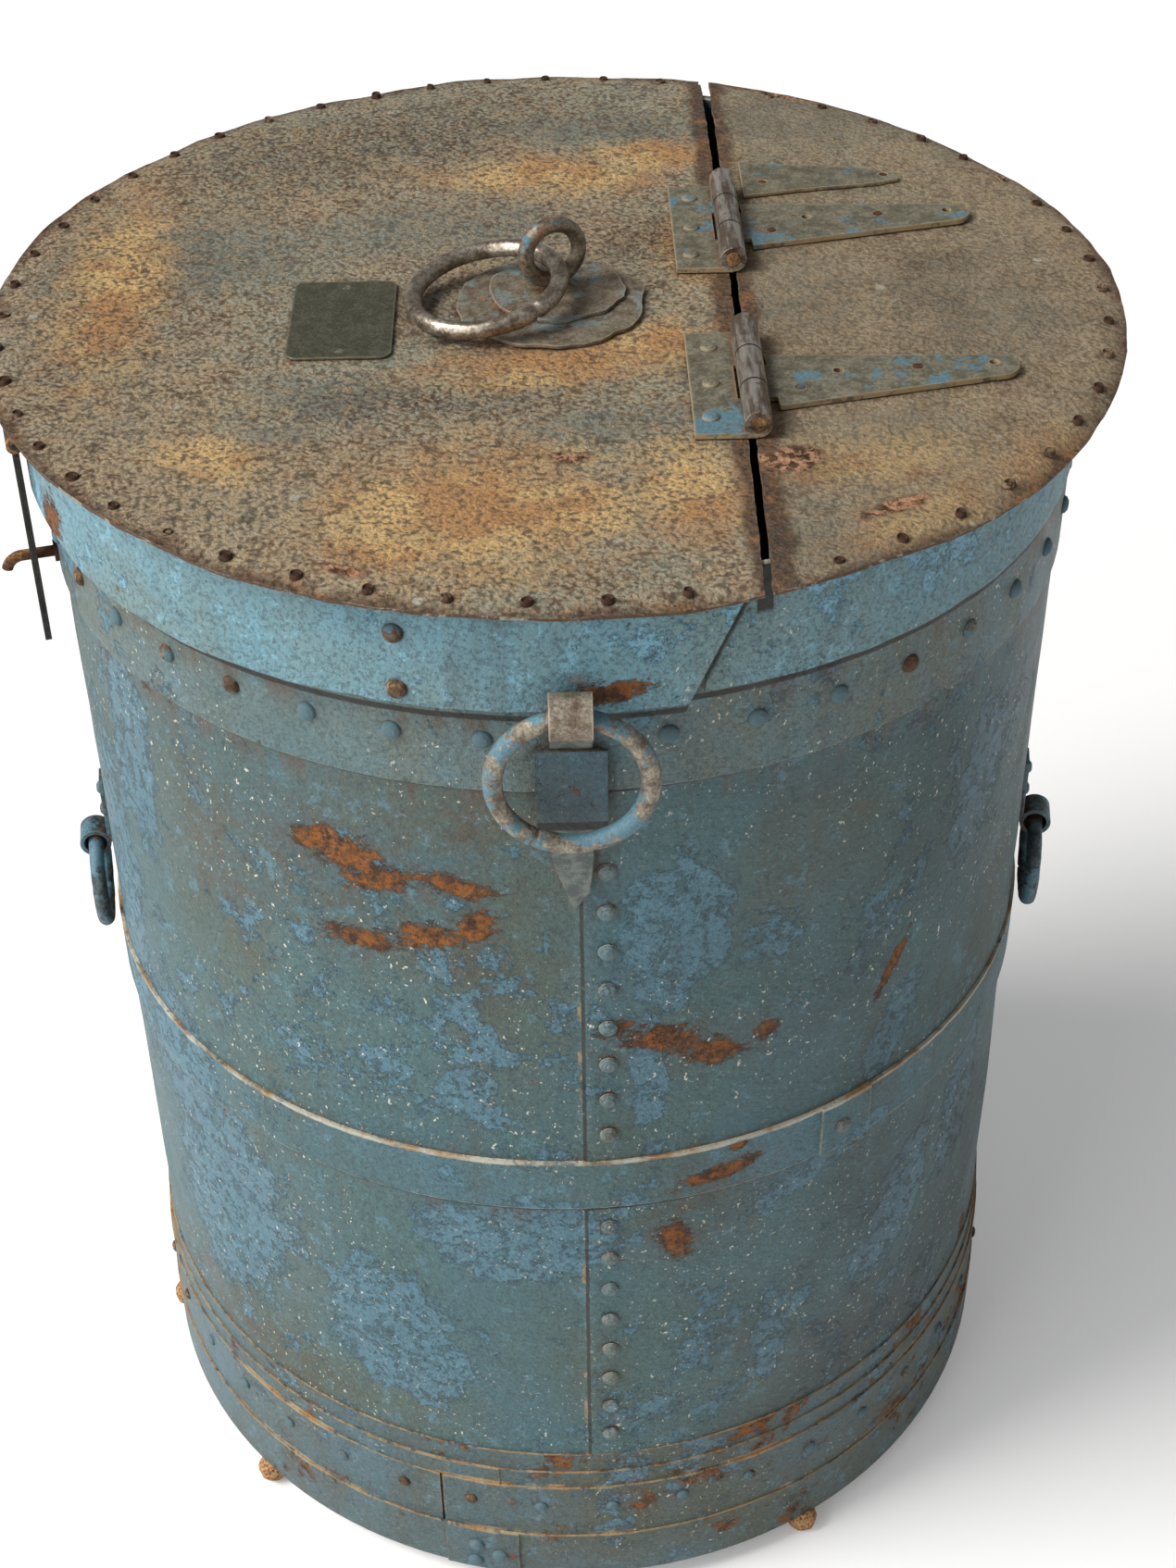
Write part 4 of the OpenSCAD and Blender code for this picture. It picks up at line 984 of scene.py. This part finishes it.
def rim_rivets(materials):
    deselect()
    master = crater()
    parts = {FLAP: [], DRUM: []}
    for i in range(RIM_COUNT):
        turn = math.radians(i * 360.0 / RIM_COUNT - 3.0)
        x, y = RIM_RIVET_R * math.sin(turn), -RIM_RIVET_R * math.cos(turn)
        if JOINT_CLEAR[0] <= x <= JOINT_CLEAR[1]:
            continue
        size = rng.uniform(0.82, 1.08)
        x_at = x + rng.uniform(-0.0008, 0.0008)
        z_at = LID_TOP - 0.0007 - rng.uniform(0.0, 0.0005)
        move = Matrix.Translation((x_at, y, z_at))
        spin = Matrix.Rotation(rng.uniform(0.0, 6.28), 4, "Z")
        oval = Matrix.Diagonal((size, size * rng.uniform(0.75, 1.0), 1.0, 1.0))
        parts[FLAP if x < JOINT_CLEAR[0] else DRUM].append(copied(master, move @ spin @ oval))
    bpy.data.objects.remove(master)
    for body, name, node in ((FLAP, "flap_rim_dimples", "flap_rim_rivets"),
                             (DRUM, "fixed_rim_dimples", "fixed_rim_rivets")):
        settle(joined(parts[body]), name, body, [node], materials["dimple"], 50.0)


def ragged_washer(name, node, x, y, z, radius, mat, cloud_size):
    """Sheet disc under the eye, rusted to a ragged outline."""
    deselect()
    obj = disc(radius, 0.0, 14, 128, 0.003)
    obj.data.transform(Matrix.Translation((x, y, z + WASHER_SHEET)))
    outer = group(obj, "outer", lambda c: (math.hypot(c.x - x, c.y - y) / radius - 0.62) / 0.30)
    roughen(obj, cloud_size, 0.0055, "X", 0.55, outer)
    roughen(obj, cloud_size * 0.9, 0.0055, "Y", 0.55, outer)
    roughen(obj, 0.018, 0.0022, "Z", 0.55, outer)
    thicken(obj, WASHER_SHEET * 0.8)
    settle(obj, name, FLAP, [node], mat, 35.0)


def forged_ring(name, node, body, centre, radius, wire, matrix, mat, groove=None):
    """Ring of round bar, hammered uneven; the groove is the closed joint of its two ends."""
    deselect()
    bpy.ops.mesh.primitive_torus_add(major_segments=180, minor_segments=28, major_radius=radius,
                                     minor_radius=wire - 0.0002)
    obj = bpy.context.object
    if groove is not None:
        def here(c):
            away = math.degrees(math.atan2(c.y, c.x)) - groove
            return abs((away + 180.0) % 360.0 - 180.0) < 1.1

        pick(obj, here)
        bpy.ops.transform.shrink_fatten(value=-0.0011)
        bpy.ops.object.mode_set(mode="OBJECT")
    obj.data.transform(Matrix.Translation(centre) @ matrix)
    roughen(obj, 0.030, 0.0008, middle=0.75)
    roughen(obj, 0.006, 0.0005, middle=0.8)
    settle(obj, name, body, [node], mat, 80.0)


def body_wall(materials):
    """Rolled wall whose front lap stands proud at its left edge and fades into the sheet."""
    low, high = 0.016, 0.7577
    # the first four edges lie just inside the bare stretches between the bands, where the lap shows
    levels = [0.1330, 0.3515, 0.3885, 0.6420] + [low + (high - low) * i / 60.0 for i in range(1, 60)]
    obj = tube(BODY_R, low, high, levels)
    step = 360.0 / AROUND
    # the lap's edge is at the first angle, and it has faded after the second
    start, span = 1.5, 16.5
    for i in range(int(span / step)):
        turn = start + i * step
        lift = 0.0013 * (1.0 - i * step / span) ** 1.5

        def here(c, turn=turn):
            at = math.degrees(math.atan2(c.x, -c.y))
            inside = BASE_TOP < c.z < HOOP_LOW or HOOP_TOP < c.z < BAND_LOW
            return inside and abs(at - turn) < step * 0.5

        pick(obj, here)
        k = 1.0 + lift / BODY_R
        bpy.ops.transform.resize(value=(k, k, 1.0), center_override=(0.0, 0.0, 0.0))
    bpy.ops.object.mode_set(mode="OBJECT")
    free = group(obj, "free", lambda c: 1.0 if 0.140 < c.z < 0.345 or 0.395 < c.z < 0.635 else 0.0)
    roughen(obj, 0.110, 0.0022, "NORMAL", 0.75, free)
    thicken(obj, 0.0016)
    settle(obj, "body_wall", DRUM, ["body_shell"], materials["body"], 60.0)


def studs(materials):
    """Lumpy rusted studs under the lowest hoop."""
    deselect()
    parts = []
    for turn in (-82.0, -47.0, -8.0, 31.0, 125.0, -150.0):
        bpy.ops.mesh.primitive_uv_sphere_add(segments=28, ring_count=18, radius=0.0105)
        obj = bpy.context.object
        pick(obj, lambda c: c.z < -0.006)
        bpy.ops.transform.resize(value=(0.85, 0.85, 0.45), center_override=(0.0, 0.0, -0.0060))
        bpy.ops.object.mode_set(mode="OBJECT")
        turned = Matrix.Rotation(math.radians(turn), 4, "Z")
        obj.data.transform(turned @ Matrix.Translation((0.0, -0.2762, 0.0083))
                           @ Matrix.Diagonal((0.98, 0.98, 1.0, 1.0)))
        roughen(obj, 0.006, 0.0026, middle=0.8)
        parts.append(obj)
    settle(joined(parts), "studs", DRUM, ["feet"], materials["foot"], 60.0)


def model_pieces(materials):
    lid_plate("opening_lid_plate", "lid_flap", FLAP, 0, materials["lid"])
    lid_plate("fixed_lid_plate", "fixed_lid", DRUM, 1, materials["lid"])
    skirt("opening_skirt", "flap_skirt", OPEN_SKIRT_R,
          lambda c: c.x < SLANT_X + (c.z - SLANT_Z) * SLANT_LEAN, materials["skirt"], True)
    skirt("fixed_lid_skirt", "fixed_skirt", FIXED_SKIRT_R, lambda c: c.x > FIXED_SKIRT_X,
          materials["skirt"], False)
    rim_rivets(materials)
    ragged_washer("ragged_lower_washer", "lower_washer", -0.002, -0.013, LID_TOP, 0.0495,
                  materials["washer"], 0.017)
    ragged_washer("ragged_upper_washer", "upper_washer", 0.001, -0.003, LID_TOP + WASHER_SHEET, 0.0355,
                  materials["washer"], 0.013)
    body_wall(materials)
    studs(materials)
    turn, tilt = math.radians(EYE_TURN), math.radians(LID_RING_LEAN)
    lean = (Matrix.Rotation(turn, 4, "Z") @ Matrix.Rotation(-tilt, 4, "Y")
            @ Matrix.Translation((-LID_RING_R, 0.0, 0.0)))
    forged_ring("forged_lid_ring", "lid_ring", "lid_ring", (EYE_X, EYE_Y, LID_RING_Z), LID_RING_R, 0.00525,
                lean, materials["steel"], groove=285.0)
    upright = Matrix.Rotation(math.radians(90.0), 4, "X")
    forged_ring("forged_front_ring", "front_ring", "front_ring", (0.0025, -0.299, 0.6653), 0.0365, 0.00525,
                upright, materials["front_ring"], groove=-120.0)
    for name, side in (("left_ring", -82.5), ("right_ring", 82.5)):
        around = Matrix.Rotation(math.radians(side), 4, "Z")
        at = around @ Vector((0.0, -0.285455, 0.3975))
        forged_ring("forged_" + name, name, name, at, 0.0285, 0.0050, around @ upright,
                    materials["side_ring"], groove=-60.0)
    eye = Matrix.Rotation(turn, 4, "Z") @ upright
    forged_ring("forged_eye", "lid_eye", FLAP, (EYE_X, EYE_Y, EYE_Z), 0.0153, 0.0047, eye,
                materials["eye"])


# ---------- stage, lights and camera ----------

CAMERA_AT = (-0.0022, -1.1723, 1.3555)
CAMERA_PITCH = 0.669617
CAMERA_ROLL = -0.013574
CAMERA_YAW = 0.013803
CAMERA_LENS = 55.83


def floor_material():
    t = Tree("studio_floor")
    t.finish((0.88, 0.88, 0.88, 1.0), 0.95, 0.0, 0.0)
    path = t.nt.nodes.new("ShaderNodeLightPath")
    seen = t.either(path.outputs["Is Camera Ray"], path.outputs["Is Glossy Ray"],
                    path.outputs["Is Transmission Ray"])
    t.bsdf.inputs["Emission Color"].default_value = (1.0, 1.0, 1.0, 1.0)
    t.put(t.bsdf.inputs["Emission Strength"], t.math("MULTIPLY", seen, 0.18))
    return t.mat


def stage_floor():
    bpy.ops.mesh.primitive_plane_add(size=30.0, location=(0.0, 0.0, FLOOR_Z))
    floor = bpy.context.object
    floor.name = "studio_floor"
    floor.data.materials.append(floor_material())


def world_light():
    world = bpy.data.worlds.new("studio")
    bpy.context.scene.world = world
    world.use_nodes = True
    nt = world.node_tree
    nt.nodes.clear()
    out = nt.nodes.new("ShaderNodeOutputWorld")
    back = nt.nodes.new("ShaderNodeBackground")
    path = nt.nodes.new("ShaderNodeLightPath")
    seen = nt.nodes.new("ShaderNodeMath")
    seen.operation = "MAXIMUM"
    nt.links.new(path.outputs["Is Camera Ray"], seen.inputs[0])
    nt.links.new(path.outputs["Is Transmission Ray"], seen.inputs[1])
    strength = nt.nodes.new("ShaderNodeMapRange")
    strength.inputs["To Min"].default_value = 0.32
    strength.inputs["To Max"].default_value = 1.0
    nt.links.new(seen.outputs[0], strength.inputs["Value"])
    nt.links.new(strength.outputs[0], back.inputs["Strength"])
    nt.links.new(back.outputs[0], out.inputs["Surface"])


def placed(name, data):
    obj = bpy.data.objects.new(name, data)
    bpy.context.collection.objects.link(obj)
    return obj


def area_light(name, at, target, size, watts):
    data = bpy.data.lights.new(name, "AREA")
    data.shape = "RECTANGLE"
    data.size, data.size_y = size
    data.energy = watts
    lamp = placed(name, data)
    lamp.location = at
    lamp.rotation_euler = (Vector(target) - Vector(at)).to_track_quat("-Z", "Y").to_euler()


def sun_light(name, azimuth, elevation, strength, soft, color):
    data = bpy.data.lights.new(name, "SUN")
    data.energy = strength
    data.angle = math.radians(soft)
    data.color = color
    lamp = placed(name, data)
    a, e = math.radians(azimuth), math.radians(elevation)
    towards = Vector((math.cos(a) * math.cos(e), math.sin(a) * math.cos(e), math.sin(e)))
    lamp.rotation_euler = towards.to_track_quat("Z", "Y").to_euler()


def studio_camera():
    data = bpy.data.cameras.new("view")
    cam = placed("view", data)
    data.sensor_width = 36.0
    data.lens = CAMERA_LENS
    data.clip_end = 60.0
    cp, sp = math.cos(CAMERA_PITCH), math.sin(CAMERA_PITCH)
    cy, sy = math.cos(CAMERA_YAW), math.sin(CAMERA_YAW)
    forward = Vector((sy * cp, cy * cp, -sp))
    right = Vector((cy, -sy, 0.0))
    up = right.cross(forward)
    cr, sr = math.cos(CAMERA_ROLL), math.sin(CAMERA_ROLL)
    side = cr * right + sr * up
    top = -sr * right + cr * up
    turn = Matrix((side, top, -forward)).transposed()
    cam.matrix_world = Matrix.Translation(CAMERA_AT) @ turn.to_4x4()
    bpy.context.scene.camera = cam


def studio():
    stage_floor()
    world_light()
    sun_light("key", 192.0, 46.0, 2.95, 28.0, (1.0, 0.985, 0.96))
    area_light("fill", (-2.3, -2.2, 1.7), (0.0, 0.0, 0.45), (2.4, 2.4), 52.0)
    studio_camera()
    view = bpy.context.scene.view_settings
    view.view_transform = "Standard"


# ---------- everything ----------

bpy.ops.object.select_all(action="DESELECT")
looks = make_materials()
dress(looks)
model_pieces(looks)
studio()
